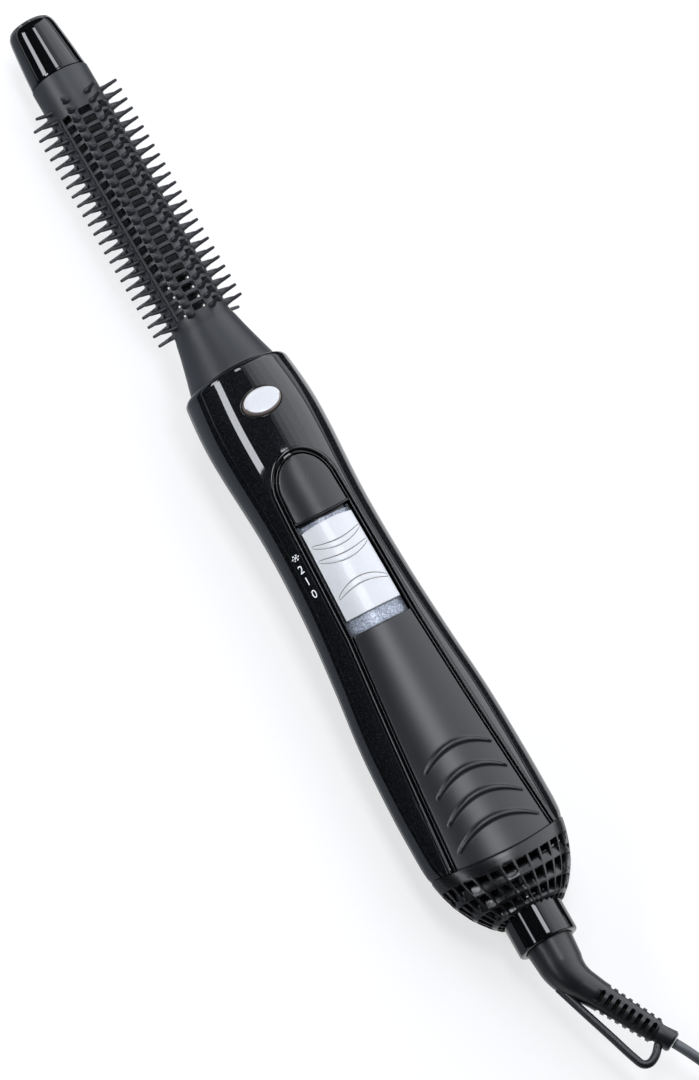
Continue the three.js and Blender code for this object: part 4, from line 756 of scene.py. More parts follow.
def half_shell(name, side):
    """A half shell as a closed wall; side is 1 for the button side and -1 for the back."""
    spread = [PART_ZONE + (180 - 2 * PART_ZONE) * k / ROUND_STEPS for k in range(ROUND_STEPS + 1)]
    angles = [*PART_EDGE[:-1], *[(turn, 0) for turn in spread],
              *[(180 - turn, drop) for turn, drop in reversed(PART_EDGE[:-1])]]
    steps = len(LIP) + LONG_STEPS

    def place(i, j):
        turn, drop = angles[j]
        angle = side * math.radians(turn)
        if i < len(LIP):
            ahead, inset = LIP[i]
            point = surface(MOUTH + ahead, angle, inset + drop, LIP_END)
        else:
            share = (i - len(LIP) + 1) / LONG_STEPS
            edge = SEAM_X
            for _ in range(5):
                edge = seam_at(surface(edge, angle).z) - GAP / 2
            fall = REAR_FALL if share == 1 else 0
            point = surface(lerp(LIP_END, edge, share), angle, drop + fall)
        if j in (0, len(angles) - 1):
            point.z += side * PART_HALF_GAP
        return point

    shell = skin(name, steps - 1, len(angles) - 1, place)
    if side > 0:
        shell.data.flip_normals()
    modify(shell, "SOLIDIFY", thickness=SHELL_WALL, offset=-1)
    return shell


def prism(name, outline, low, high):
    """An upright block over an outline of (x, y) points, for cutting."""
    bpy.ops.mesh.primitive_plane_add(size=1)
    piece = bpy.context.object
    piece.name = name
    bpy.ops.object.mode_set(mode="EDIT")
    bpy.ops.mesh.select_mode(type="VERT")
    bpy.ops.mesh.merge(type="CENTER")
    x, y = outline[0]
    bpy.ops.transform.translate(value=(x, y, low))
    for next_x, next_y in outline[1:]:
        bpy.ops.mesh.extrude_region_move(
            TRANSFORM_OT_translate={"value": (next_x - x, next_y - y, 0)},
        )
        x, y = next_x, next_y
    bpy.ops.mesh.select_all(action="SELECT")
    bpy.ops.mesh.edge_face_add()
    bpy.ops.mesh.extrude_region_move(TRANSFORM_OT_translate={"value": (0, 0, high - low)})
    clean()
    bpy.ops.object.mode_set(mode="OBJECT")
    return piece


def cut(piece, cutter):
    """Takes the cutter out of the piece and removes it."""
    modify(piece, "BOOLEAN", object=cutter, operation="DIFFERENCE", solver="EXACT")
    bpy.data.objects.remove(cutter)


# the inlays' outline: an arch, then straight sides that spread to the seam
ARCH_APEX, SHOULDER_X, FOOT_X = 173, 184, 322
SIDE_MARKS = [(SHOULDER_X, 9.4), (193.1, 9.8), (234.4, 10.8), (FOOT_X, 17.8)]
ARCH_STEPS, STRAIGHT_STEPS = 16, 48


def inlay_half(x):
    """Half the inlays' width below the arch."""
    for (x0, half0), (x1, half1) in zip(SIDE_MARKS, SIDE_MARKS[1:]):
        if x <= x1:
            return lerp(half0, half1, (x - x0) / (x1 - x0))
    return SIDE_MARKS[-1][1]


def inlay_outline(grow, end):
    """Half the inlays' outline, from the arch's top to a place along the handle."""
    long, wide = SHOULDER_X - ARCH_APEX + grow, SIDE_MARKS[0][1] + grow
    arch = [
        (SHOULDER_X - long * math.cos(math.radians(90 * k / ARCH_STEPS)),
         wide * math.sin(math.radians(90 * k / ARCH_STEPS)))
        for k in range(ARCH_STEPS + 1)
    ]
    straight = [lerp(SHOULDER_X, end, k / STRAIGHT_STEPS) for k in range(1, STRAIGHT_STEPS + 1)]
    return arch + [(x, inlay_half(x) + grow) for x in straight]


def both_sides(half_outline):
    """An outline closed with its mirror image across the middle."""
    return half_outline + [(x, -y) for x, y in reversed(half_outline) if y > 0.01]


BUTTON_X, BUTTON_LONG, BUTTON_WIDE = 152.6, 8.9, 13.4


def oval(grow, steps=48):
    """The release button's outline, grown outwards."""
    return [
        (BUTTON_X + (BUTTON_LONG / 2 + grow) * math.cos(2 * math.pi * k / steps),
         (BUTTON_WIDE / 2 + grow) * math.sin(2 * math.pi * k / steps))
        for k in range(steps)
    ]


UNDER_BEAD = 2.1  # the shell's opening reaches this far past the inlays, under the bead
FRONT_CUT, REAR_CUT = (8, 40), (-40, -5)
front = half_shell("front_half_shell", 1)
cut(front, prism("inlay_cutter", both_sides(inlay_outline(UNDER_BEAD, FOOT_X)), *FRONT_CUT))
cut(front, prism("button_cutter", oval(GAP), *FRONT_CUT))
finish_piece(front, FLAKE, "handle", nodes=["front_shell"])

SCREW_PLACES, SCREW_WELL = (258.7, 301.5), 2.9
rear = half_shell("rear_half_shell", -1)
for screw_x in SCREW_PLACES:
    cut(rear, prism("screw_cutter", [
        (screw_x + SCREW_WELL * math.cos(2 * math.pi * k / 24), SCREW_WELL * math.sin(2 * math.pi * k / 24))
        for k in range(24)
    ], *REAR_CUT))
finish_piece(rear, FLAKE, "handle", nodes=["rear_shell"])

# %% [markdown]
# ## The inlays, the switch and the button
# A double bead frames the inlays. It is one section, swept along the outline: an outer bead that
# stands proud of the shell, a dark groove, and a thin inner bead that the inlays lie against.

# %% The bead round the inlays
BEAD_END = 319
BEAD_SECTION = [  # outwards from the inlays, height
    (2.75, -1.2), (2.7, -0.15), (2.55, 0.22), (2.2, 0.42), (1.85, 0.42), (1.5, 0.25), (1.3, -0.1),
    (1.2, -0.9), (0.8, -0.9), (0.68, -0.1), (0.55, 0.08), (0.4, 0.1), (0.27, 0.0), (0.2, -0.25),
    (0.2, -1.6),
]


def seam_x_at(y):
    """Where the button side ends at the seam, at a place across."""
    edge = SEAM_X
    for _ in range(5):
        edge = seam_at(top_height(edge, y))
    return edge - GAP / 2


def bead_point(i, j):
    grow, height = BEAD_SECTION[j]
    outline = both_sides(inlay_outline(grow, BEAD_END))
    x, y = outline[(i + bead_middle) % len(outline)]
    x = min(x, seam_x_at(y))
    return Vector((x, y, top_height(x, y) + height))


bead_half = inlay_outline(0, BEAD_END)
bead_steps = 2 * len(bead_half) - 2
bead_middle = len(bead_half)
bead = skin("inlay_bead", bead_steps, len(BEAD_SECTION) - 1, bead_point)
finish_piece(bead, GLOSS, "handle", nodes=["panel_bezel"], angle=60)

# %% [markdown]
# The upper inlay, the grip panel, the track and the slider are plates that follow the handle's
# crown. Each is a grid over its own outline, in shares across and along, with a rounded edge and
# a wall below. Raised or sunken crescents are part of the plate, so the same grid carries them.

# %% Plates that follow the crown
CREST_SOFTENING, CREST_TIPS = 0.28, 1.15


def plate(name, start, end, side_gap, depth, thickness, steps, shape=None, edge=0.35):
    """A crowned plate between two lines across the inlays; shape(x, y) adds to its height."""
    columns, rows = steps
    rim = [(0, -thickness), (0, -edge), (edge * 0.3, -edge * 0.3), (edge, 0)]

    def marks(low, high, count):
        """Shares from low to high, each with a shift in millimetres and how far the plate falls there."""
        inner = [(lerp(low, high, k / count), 0, 0) for k in range(2, count - 1)]
        return [(low, ahead, fall) for ahead, fall in rim] + inner + [
            (high, -ahead, fall) for ahead, fall in reversed(rim)
        ]

    across_marks = marks(-1, 1, rows)
    along_marks = marks(0, 1, columns)

    def place(i, j):
        y_share, y_shift, y_fall = across_marks[j]
        x_share, x_shift, x_fall = along_marks[i]
        x = start(0)
        for _ in range(3):
            y = y_share * (inlay_half(x) - side_gap) + y_shift
            x = lerp(start(y), end(y), x_share) + x_shift
        fall = min(y_fall, x_fall)
        rise = shape(x, y) if shape and fall == 0 else 0
        return Vector((x, y, top_height(x, y) - depth + fall + rise))

    return skin(name, len(along_marks) - 1, len(across_marks) - 1, place)


def crescent(x, y, tip_x, half, middle, bow, thick):
    """How far inside a crescent a place is: 1 on its middle line, 0 on its outline, less outside."""
    share = (y - middle) / half
    if abs(share) > CREST_TIPS:
        return -2
    line = tip_x + bow * share**2
    reach = thick / 2 * math.sqrt(max(1 - share**2, 0)) + CREST_SOFTENING
    return 1 - abs(x - line) / reach if abs(share) < 1 else -1


GRIP_CRESCENTS = [  # place of the crest's middle, half width, middle, bow
    (279.6, 12.3, 1.1, 4.6), (288.6, 13.0, 1.1, 5.0), (297.7, 13.7, 0.9, 5.2), (307.1, 14.6, 0.6, 5.0),
]
CREST_WIDTH, CREST_HEIGHT, CREST_SHOULDER = 2.6, 0.75, 0.9
GRIP_START, END_BOW = 234.4, 0.004


def grip_relief(x, y):
    """The height of the grip panel's raised crescents."""
    height = 0
    for tip_x, half, middle, bow in GRIP_CRESCENTS:
        inside = crescent(x, y, tip_x, half, middle, bow, CREST_WIDTH)
        height = max(height, CREST_HEIGHT * smoothstep(inside / CREST_SHOULDER))
    return height


grip = plate(
    "grip_plate", lambda y: GRIP_START - END_BOW * y * y, lambda y: seam_x_at(y) - 0.1,
    side_gap=0.22, depth=0.05, thickness=1.4, steps=(240, 84), shape=grip_relief,
)
finish_piece(grip, ABS_SATIN, "handle", nodes=["grip_panel"], angle=60)

# %% [markdown]
# The slider runs below the upper inlay, so it lies more than a millimetre under the crown. A fine
# groove draws each of its three crescents, and a brown rod thinner than a third of a millimetre
# lies along it as painted shade, the dark line of the groove. Painted on the grid's faces, a line
# that thin would have ragged edges.

# %% The switch slider
SLIDER_START, SLIDER_END, SLIDER_DROP = 196.2, 229, 1.12
SLIDER_BOW, SLIDER_SIDE = 0.006, 0.35
SLIDER_CRESCENTS = [  # place of the crest's middle, half width, middle, bow, thickness
    (204.7, 8.6, 0.3, -2.4, 1.7), (209.7, 8.7, 0.2, -2.2, 1.9), (218.7, 8.9, 0.4, 2.4, 1.9),
]
GROOVE_DEPTH, GROOVE_PLACE, GROOVE_REACH = 0.2, 0.12, 0.22
OUTLINE_RADIUS, OUTLINE_OUT, OUTLINE_SUNK, OUTLINE_STEPS = 0.15, 0.22, 0.13, 80


def slider_relief(x, y):
    """The depth of the slider's crescents along their outlines."""
    groove = 0
    for tip_x, half, middle, bow, thick in SLIDER_CRESCENTS:
        inside = crescent(x, y, tip_x, half, middle, bow, thick)
        groove = max(groove, 1 - abs(inside - GROOVE_PLACE) / GROOVE_REACH)
    return -GROOVE_DEPTH * smoothstep(groove)


slider = plate(
    "slider_plate", lambda y: SLIDER_START + SLIDER_BOW * y * y, lambda y: SLIDER_END - END_BOW * y * y,
    side_gap=0.7, depth=SLIDER_DROP, thickness=1.15, steps=(150, 96), shape=slider_relief, edge=0.25,
)
slider.data.materials.append(PEARL)
# painted shade: the slider's steep side faces get the brownish grey
paint_faces(slider, EDGE, lambda face: abs(face.normal.z) < SLIDER_SIDE)
outlines = []
for tip_x, half, middle, bow, thick in SLIDER_CRESCENTS:
    loop_points = []
    for k in range(OUTLINE_STEPS + 1):
        share = math.cos(2 * math.pi * k / OUTLINE_STEPS)
        side = 1 if k <= OUTLINE_STEPS / 2 else -1
        reach = side * (thick / 2 * math.sqrt(max(1 - share**2, 0)) + OUTLINE_OUT)
        x = tip_x + bow * share**2 + reach
        y = middle + half * share
        loop_points.append((x, y, top_height(x, y) - SLIDER_DROP - OUTLINE_SUNK))
    outline = tube("crescent_outline", loop_points, [OUTLINE_RADIUS] * len(loop_points), 8)
    # painted shade: each crescent's line is the brownish grey
    outline.data.materials.append(EDGE)
    outlines.append(outline)
slider = joined("slider_plate", [slider, *outlines])
finish_piece(slider, PEARL, "switch", nodes=["switch_slider"], angle=50)

# %% [markdown]
# The track is the floor that the slider runs over. A long slot lets the carriage reach the switch
# from the slider's one limit to the other. The band in the upper inlay's shade is painted dark.

# %% The track
STRIP_START, STRIP_END, STRIP_DEPTH = 186, 234.2, 2.8
CARRIAGE_SLOT = (198, 221.6, 3.1)  # where it starts and ends, and half its width
SHADE_END, ARCH_BOW, ARCH_BOW_HALF = 194.2, 0.9, 9.8


def in_carriage_slot(place):
    """Whether a place is in the slot that the switch carriage travels in."""
    start, end, half = CARRIAGE_SLOT
    return start < place.x < end and abs(place.y) < half


def arch_bow(y):
    """How far the upper inlay's lower edge bows towards the cord, at a place across."""
    return ARCH_BOW * (1 - (y / ARCH_BOW_HALF) ** 2)


track = plate(
    "track_strip", lambda y: STRIP_START, lambda y: STRIP_END - END_BOW * y * y,
    side_gap=0.3, depth=STRIP_DEPTH, thickness=0.8, steps=(60, 40),
)
alone(track)
bpy.ops.object.mode_set(mode="EDIT")
pick(track, "FACE", lambda face: in_carriage_slot(face.calc_center_median()))
bpy.ops.mesh.delete(type="FACE")
bpy.ops.object.mode_set(mode="OBJECT")
track.data.materials.append(TRACK)
paint_faces(track, GRILLE_ABS, lambda face: face.center.x < SHADE_END + arch_bow(face.center.y))
finish_piece(track, TRACK, "handle", nodes=["track_plate"], angle=50)

# %% [markdown]
# The upper inlay fills the arch. The slider runs under its thin lower edge, and a round rod hangs
# below that edge and narrows the gap to the slider, as a dust lip would.

# %% The upper inlay
LIP_RADIUS, LIP_X, LIP_HALF, LIP_SUNK, LIP_STEPS = 0.3, 193.2, 9.7, 0.38, 24
ARCH_WALL, ARCH_GAP, ARCH_END, ARCH_CROWN = 0.55, 0.22, 192.9, 0.25
BOW_START, BOW_REACH = 186, 6.9
LOWER_EDGE = 192.5  # past here a boundary edge belongs to the lower edge


def arch_plate():
    """The upper inlay, laid out in rings from its middle line to the arch."""
    outline = inlay_outline(-ARCH_GAP, ARCH_END)
    rows = 22
    rim = [(1, -0.6), (1, -0.4), (0.985, -0.1), (0.96, 0)]

    def place(i, j):
        x, half = outline[i]
        side = 1 if j >= rows + len(rim) else -1
        k = abs(j - rows - len(rim))
        if k > rows:
            share, fall = rim[len(rim) - (k - rows)]
        else:
            share, fall = 0.96 * k / rows, 0
        y = side * half * share
        lower = x + ARCH_BOW * max(0, (x - BOW_START) / BOW_REACH) * (1 - (y / ARCH_BOW_HALF) ** 2)
        return Vector((lower, y, top_height(x, y) + fall + ARCH_CROWN * (1 - share**2)))

    piece = skin("arch_plate", len(outline) - 1, 2 * (rows + len(rim)), place)
    alone(piece)
    bpy.ops.object.mode_set(mode="EDIT")
    pick(piece, "EDGE", lambda edge: edge.is_boundary and all(v.co.x > LOWER_EDGE for v in edge.verts))
    bpy.ops.mesh.extrude_region_move(TRANSFORM_OT_translate={"value": (0, 0, -ARCH_WALL)})
    bpy.ops.object.mode_set(mode="OBJECT")
    return piece


arch = arch_plate()
lip_line = []
for k in range(-LIP_STEPS, LIP_STEPS + 1):
    y = LIP_HALF * k / LIP_STEPS
    x = LIP_X + arch_bow(y)
    lip_line.append((x, y, top_height(x, y) - LIP_SUNK))
dust_lip = tube("dust_lip", lip_line, [LIP_RADIUS] * len(lip_line), 12)
arch = joined("upper_inlay_with_lip", [arch, dust_lip])
finish_piece(arch, ABS_SATIN, "handle", nodes=["upper_inlay"], angle=50)

# %% [markdown]
# The release button is an oval pad with a broad rounded shoulder. It is a skin of oval rings,
# which rise and then close in, and so make the wall, the shoulder and the slightly domed top.
# Where the shoulder turns down it is painted shade, a brownish grey that reaches higher on the
# cord's side. A fine gloss rim lies round it.

# %% The release button
button_crown = top_height(BUTTON_X, 0)
BUTTON_STEPS = [  # inwards from the outline, height over the shell
    (0, 0), (0.0, 0.45), (0.12, 0.85), (0.36, 1.15), (0.72, 1.36), (1.0, 1.42), (1.5, 1.46),
    (2.6, 1.5), (3.7, 1.52),
]
BUTTON_AROUND, BUTTON_ROOT, BUTTON_SUNK, BUTTON_LEVEL, INSET_ALONG = 64, 2.5, 0.15, 1.2, 0.95
SHADE_CORD_SIDE, SHADE_OTHER_SIDES = 0.93, 0.72  # how far up a face may look and still get painted shade: cord side, others


def button_point(i, j):
    inset, rise = BUTTON_STEPS[min(i, len(BUTTON_STEPS) - 1)]
    turn = 2 * math.pi * j / BUTTON_AROUND
    grow = 0 if i == len(BUTTON_STEPS) else 1
    x = BUTTON_X + grow * (BUTTON_LONG / 2 - inset * INSET_ALONG) * math.cos(turn)
    y = grow * (BUTTON_WIDE / 2 - inset) * math.sin(turn)
    flat = lerp(top_height(x, y), button_crown - BUTTON_SUNK, smoothstep(rise / BUTTON_LEVEL))
    return Vector((x, y, flat + rise - (BUTTON_ROOT if i == 0 else 0)))


pad = skin("release_pad", len(BUTTON_STEPS), BUTTON_AROUND, button_point, close=True)
pad.data.materials.append(PEARL)
# painted shade: the shoulder's downturned faces get the brownish grey, higher up on the cord's side
paint_faces(pad, EDGE, lambda face: face.normal.z < (SHADE_CORD_SIDE if face.normal.x > 0.1 else SHADE_OTHER_SIDES))
finish_piece(pad, PEARL, "release_button", nodes=["release_button"], angle=60)

RIM_AROUND = 72
RIM_SECTION = [  # outwards from the button, height
    (0.28, -1.2), (0.28, -0.1), (0.34, 0.06), (0.5, 0.12), (0.68, 0.08), (0.8, -0.06), (0.86, -0.4),
]


def rim_point(i, j):
    grow, rise = RIM_SECTION[j]
    turn = 2 * math.pi * i / RIM_AROUND
    x = BUTTON_X + (BUTTON_LONG / 2 + grow) * math.cos(turn)
    y = (BUTTON_WIDE / 2 + grow) * math.sin(turn)
    return Vector((x, y, top_height(x, y) + rise))


rim_ring = skin("button_rim", RIM_AROUND, len(RIM_SECTION) - 1, rim_point)
finish_piece(rim_ring, GLOSS, "handle", angle=70)

# %% [markdown]
# The switch scale is pad-printed beside the track: a snowflake for cold air, then 2, 1 and 0. The
# figures are text made a mesh and laid on the surface, with their tops towards the tip. The
# snowflake is six thin arms with two small barbs each.

# %% The switch scale
MARK_Y, MARK_RISE, FIGURE_HEIGHT = -14.4, 0.05, 2.7
FIGURE_SHARE, FIGURE_SLIM = 0.69, 0.72  # a figure's height in its type size, and how it is narrowed
SNOWFLAKE_PLACE = (202.2, -14.2)
SNOWFLAKE_BARS = [(1.2, 0.16, 0, 0.0), (0.4, 0.12, 50, 0.72), (0.4, 0.12, -50, 0.72)]  # of one arm


def laid_on(piece, x0, y0):
    """Lays a flat piece on the surface with its top towards the tip."""
    for point in piece.data.vertices:
        x, y = x0 - point.co.y, y0 + point.co.x
        point.co = Vector((x, y, top_height(x, y) + MARK_RISE))


marks = []
for figure, x in (("2", 206.5), ("1", 210.8), ("0", 215.5)):
    bpy.ops.object.text_add()
    text = bpy.context.object
    text.data.body = figure
    text.data.align_x, text.data.align_y = "CENTER", "CENTER"
    text.data.size = FIGURE_HEIGHT / FIGURE_SHARE
    bpy.ops.object.convert(target="MESH")
    text = bpy.context.object
    text.data.transform(Matrix.Diagonal((FIGURE_SLIM, 1, 1, 1)))
    laid_on(text, x, MARK_Y)
    marks.append(text)
for arm in range(6):
    for length, width, lean, out in SNOWFLAKE_BARS:
        bpy.ops.mesh.primitive_grid_add(x_subdivisions=3, y_subdivisions=1, size=1)
        bar = bpy.context.object
        bar.data.transform(
            Matrix.Rotation(math.radians(60 * arm), 4, "Z") @ Matrix.Translation((out, 0, 0))
            @ Matrix.Rotation(math.radians(lean), 4, "Z") @ Matrix.Translation((length / 2, 0, 0))
            @ Matrix.Diagonal((length, width, 1, 1))
        )
        laid_on(bar, *SNOWFLAKE_PLACE)
        marks.append(bar)
scale_marks = joined("scale_marks", marks)
scale_marks.data.materials.clear()
finish_piece(scale_marks, INK, "handle")

# %% [markdown]
# ## The brush head
# The cool tip is one turned piece with a rounded end and a fine ring groove near it. It swells
# towards the barrel, where a shoulder steps down into the tube.

# %% The cool tip
tip = lathe("cool_tip_cap", [
    (-0.7, 0), (-0.6, 3.4), (-0.4, 5.5), (-0.1, 6.5), (0.3, 7.1), (0.55, 7.28), (0.65, 7.24), (0.78, 7.26),
    (0.9, 7.5), (1.3, 7.78), (2.0, 8.05), (3.0, 8.27), (4.4, 8.46), (6, 8.62), (8, 8.83), (10, 9.04),
    (12, 9.23), (14, 9.41), (16, 9.58), (18, 9.72), (19.6, 9.82), (20.2, 9.82), (20.45, 9.68), (20.6, 9.3),
    (20.6, 8.3), (25.6, 8.3), (25.6, 1.8), (11.6, 1.8), (11.6, 0),
], 72)
finish_piece(tip, GLOSS, "brush_head", ON_BRUSH, nodes=["cool_tip"])

# %% [markdown]
# The barrel is a turned tube. Its windows are faces taken out of it, in eight columns, with their
# corners rounded by a bevel of points. Solidify gives the wall, and a bevel softens every rim.

# %% The barrel's tube
BARREL_START, BARREL_END, BARREL_RADIUS, BARREL_WALL = 20.9, 119, 10.1, 1.5
COLUMNS, FIRST_PIN, PIN_PITCH, PINS_PER_ROW = 8, 31.3, 3.63, 24
WINDOW_LONG, WINDOW_TURN, WINDOW_CORNER, AROUND = 2.35, 27, 0.42, 80
CONE_FOOT_RADIUS = 10.9
rings = [FIRST_PIN + k * PIN_PITCH for k in range(PINS_PER_ROW)]
half_ring = (PIN_PITCH - WINDOW_LONG) / 2
edges = [x for ring in rings for x in (ring - half_ring, ring + half_ring)]
barrel = lathe("barrel_tube", [
    (x, BARREL_RADIUS) for x in [BARREL_START, 24, 27.5, *edges]
] + [(116.5, 10.3), (118, 10.6), (BARREL_END, CONE_FOOT_RADIUS)], AROUND)


def turn_of(point):
    """The angle of a place round the brush's axis, from +Y towards +Z, in degrees."""
    return math.degrees(math.atan2(point.z, point.y))


def in_window(x, turn):
    """Whether a place on the tube is in a window: eight columns, one every 45 degrees."""
    nearest = round((turn - 90) / 45) * 45 + 90
    between = any(a + half_ring < x < b - half_ring for a, b in zip(rings[1:], rings[2:]))
    return between and abs(turn - nearest) < WINDOW_TURN / 2


def at_corner(vert):
    """Whether a point is a window's corner: one of the four faces round it is gone."""
    return vert.is_boundary and len(vert.link_faces) == 3


face_out(barrel)
alone(barrel)
bpy.ops.object.mode_set(mode="EDIT")
pick(barrel, "FACE", lambda face: in_window(
    face.calc_center_median().x, turn_of(face.calc_center_median()),
))
bpy.ops.mesh.delete(type="FACE")
pick(barrel, "VERT", at_corner)
bpy.ops.mesh.bevel(affect="VERTICES", offset=WINDOW_CORNER, segments=2)
bpy.ops.object.mode_set(mode="OBJECT")
modify(barrel, "SOLIDIFY", thickness=BARREL_WALL, offset=-1)
modify(barrel, "BEVEL", width=0.12, segments=1, limit_method="ANGLE", angle_limit=math.radians(50))

# %% [markdown]
# A pin is a blunt rod on a fin that is wide round the barrel and thin along it, as moulded pins are.
# One pin is drawn, an array repeats it along its row, and turned copies make the eight rows. A
# fine moulding rib runs over one column of windows for most of the barrel's length.

# %% The pins
PIN_STATIONS = [  # height above the tube, reach along the barrel, width round it
    (-0.6, 1.15, 3.2), (0.05, 1.05, 3.2), (0.4, 0.84, 3.0), (1.0, 0.77, 2.6), (1.5, 0.73, 2.1),
    (1.8, 0.7, 1.6), (2.2, 0.67, 1.3), (4.8, 0.56, 1.1), (5.8, 0.49, 0.95), (6.02, 0.36, 0.7), (6.1, 0, 0),
]
PIN_SIDES = 8


def pin_point(i, j):
    height, reach, width = PIN_STATIONS[i]
    turn = 2 * math.pi * (j + 0.5) / PIN_SIDES
    y = width / 2 * math.sin(turn)
    drop = BARREL_RADIUS - math.sqrt(BARREL_RADIUS**2 - y**2)
    return Vector((FIRST_PIN + reach * math.cos(turn), y, BARREL_RADIUS + height - drop))


pin = skin("barrel_pin", len(PIN_STATIONS) - 1, PIN_SIDES, pin_point, close=True)
modify(
    pin, "ARRAY", count=PINS_PER_ROW, use_relative_offset=False, use_constant_offset=True,
    constant_offset_displace=(PIN_PITCH, 0, 0),
)
pin_rows = [
    copy_of(pin, Matrix.Rotation(math.radians(22.5 + 45 * k), 4, "X")) for k in range(COLUMNS)
]
bpy.data.objects.remove(pin)
RIB_START, RIB_END, RIB_TURN = 35, 114.5, 142
RIB_RAMP, RIB_SUNK = 0.6, 0.3
RIB_SHAPE = [  # across, height
    (-0.5, -RIB_SUNK), (-0.34, 0.2), (-0.12, 0.42), (0.12, 0.42), (0.34, 0.2), (0.5, -RIB_SUNK),
]
RIB_PLACES = [RIB_START, RIB_START + RIB_RAMP, RIB_END - RIB_RAMP, RIB_END]


def rib_point(i, j):
    across, height = RIB_SHAPE[j]
    radius = BARREL_RADIUS + (height if i in (1, 2) else -RIB_SUNK)
    turn = math.radians(RIB_TURN) + across / BARREL_RADIUS
    return Vector((RIB_PLACES[i], radius * math.cos(turn), radius * math.sin(turn)))


rib = skin("mould_rib", len(RIB_PLACES) - 1, len(RIB_SHAPE) - 1, rib_point)
face_out(rib)
barrel = joined("barrel_with_pins", [barrel, *pin_rows, rib])
finish_piece(barrel, PBT_SATIN, "brush_head", ON_BRUSH, nodes=["brush_barrel"], angle=40)

# %% [markdown]
# The cone flares out to the handle and carries the spigot that the latch holds.

# %% The cone and its spigot
CONE_START, CONE_END, CONE_RADIUS, FLARE_POWER = 118.7, 138.4, 15.8, 1.12
SPIGOT_RADIUS, SPIGOT_END, GROOVE = 12.2, 159, (150.5, 153.7, 0.6)
FLARE_STEPS = 20
flare = [
    (lerp(CONE_START, CONE_END, k / FLARE_STEPS),
     lerp(CONE_FOOT_RADIUS, CONE_RADIUS, (k / FLARE_STEPS) ** FLARE_POWER))
    for k in range(FLARE_STEPS + 1)
]
cone = lathe("cone_with_spigot", [
    (116.1, 7.1), (116.1, 8.25), (CONE_START, 8.3), (CONE_START, CONE_FOOT_RADIUS - 0.06), *flare[1:-1],
    (CONE_END - 0.25, CONE_RADIUS - 0.15), (CONE_END, CONE_RADIUS - 0.5), (CONE_END, SPIGOT_RADIUS),
    (GROOVE[0], SPIGOT_RADIUS), (GROOVE[0], SPIGOT_RADIUS - GROOVE[2]),
    (GROOVE[1], SPIGOT_RADIUS - GROOVE[2]), (GROOVE[1], SPIGOT_RADIUS),
    (SPIGOT_END - 0.5, SPIGOT_RADIUS), (SPIGOT_END, SPIGOT_RADIUS - 0.4),
    (SPIGOT_END, SPIGOT_RADIUS - 1.4), (136.4, SPIGOT_RADIUS - 1.4), (122.3, 7.1), (116.1, 7.1),
], 96)
finish_piece(cone, PBT_SATIN, "brush_head", ON_BRUSH, nodes=["brush_cone"])

# %% [markdown]
# ## The air intake and the cord's end
# The grille is modelled flat: its slots are faces taken out of a sheet, Solidify gives the wall,
# and the inner edges on the cord's side are pulled towards the tip, so that each slot has a ramp
# that sheds the light, a longer one at the back. Then the sheet is wrapped round the dome, and the
# two walls where it closed on itself are taken out.

# %% The intake grille
SLOTS_AROUND, SLOT_OPEN = 28, 0.82
SLOT_ROWS = [(0.165, 0.372), (0.405, 0.625), (0.668, 0.885), (0.944, 1)]
SHEET_LONG, SHEET_ROUND, RAMP, REAR_RAMP = 26, 20, 3.4, 4.7
grille_shares = [0, 0.06, 0.12]
for first, last in SLOT_ROWS:
    grille_shares += [first, lerp(first, last, 1 / 3), lerp(first, last, 2 / 3), last]
slot_pitch = 2 * math.pi / SLOTS_AROUND
OPEN_PARTS, RIB_PARTS = 4, 2
grille_turns = []
for k in range(SLOTS_AROUND):
    start = (k + 0.5 - SLOT_OPEN / 2) * slot_pitch
    grille_turns += [start + slot_pitch * SLOT_OPEN * part / OPEN_PARTS for part in range(OPEN_PARTS)]
    start += slot_pitch * SLOT_OPEN
    grille_turns += [start + slot_pitch * (1 - SLOT_OPEN) * part / RIB_PARTS for part in range(RIB_PARTS)]
grille_turns.append(grille_turns[0] + 2 * math.pi)


def on_dome(share, angle, inset):
    """A place on the dome: a share of the way from the seam to its end, and an angle round it."""
    edge = SEAM_X
    for _ in range(5):
        edge = seam_at(surface(edge, angle).z) + GAP / 2
    first, last = [math.asin((x - DOME_START) / DOME_LENGTH) for x in (edge, DOME_END)]
    x = DOME_START + DOME_LENGTH * math.sin(lerp(first, last, share))
    point = surface(x, angle, inset)
    radius = math.hypot(point.y, point.z)
    if inset and radius < COLLAR_RADIUS + GAP:
        point.y *= (COLLAR_RADIUS + GAP) / radius
        point.z *= (COLLAR_RADIUS + GAP) / radius
    return point


def is_slot(face):
    """Whether a face of the flat sheet is in one of the grille's slots."""
    middle = face.calc_center_median()
    share, turn = middle.x / SHEET_LONG, middle.y / SHEET_ROUND
    offset = abs((turn / slot_pitch) % 1 - 0.5)
    return offset < SLOT_OPEN / 2 and any(a < share < b for a, b in SLOT_ROWS)


grille = skin(
    "intake_grille_wall", len(grille_shares) - 1, len(grille_turns) - 1,
    lambda i, j: (grille_shares[i] * SHEET_LONG, grille_turns[j] * SHEET_ROUND, 0),
)
alone(grille)
bpy.ops.object.mode_set(mode="EDIT")
pick(grille, "FACE", is_slot)
bpy.ops.mesh.delete(type="FACE")
bpy.ops.object.mode_set(mode="OBJECT")
RAMP_CHANGE, ON_EDGE = -0.2, 0.001  # sine of the turn where ramps change, and a match's tolerance
modify(grille, "SOLIDIFY", thickness=DOME_WALL, offset=-1)
slot_ends = [last * SHEET_LONG for _, last in SLOT_ROWS[:-1]]
sheet_sides = [turns * SHEET_ROUND for turns in (grille_turns[0], grille_turns[-1])]
alone(grille)
bpy.ops.object.mode_set(mode="EDIT")
pick(grille, "FACE", lambda face: any(
    all(abs(v.co.y - side) < ON_EDGE for v in face.verts) for side in sheet_sides
))
bpy.ops.mesh.delete(type="FACE")
bpy.ops.object.mode_set(mode="OBJECT")
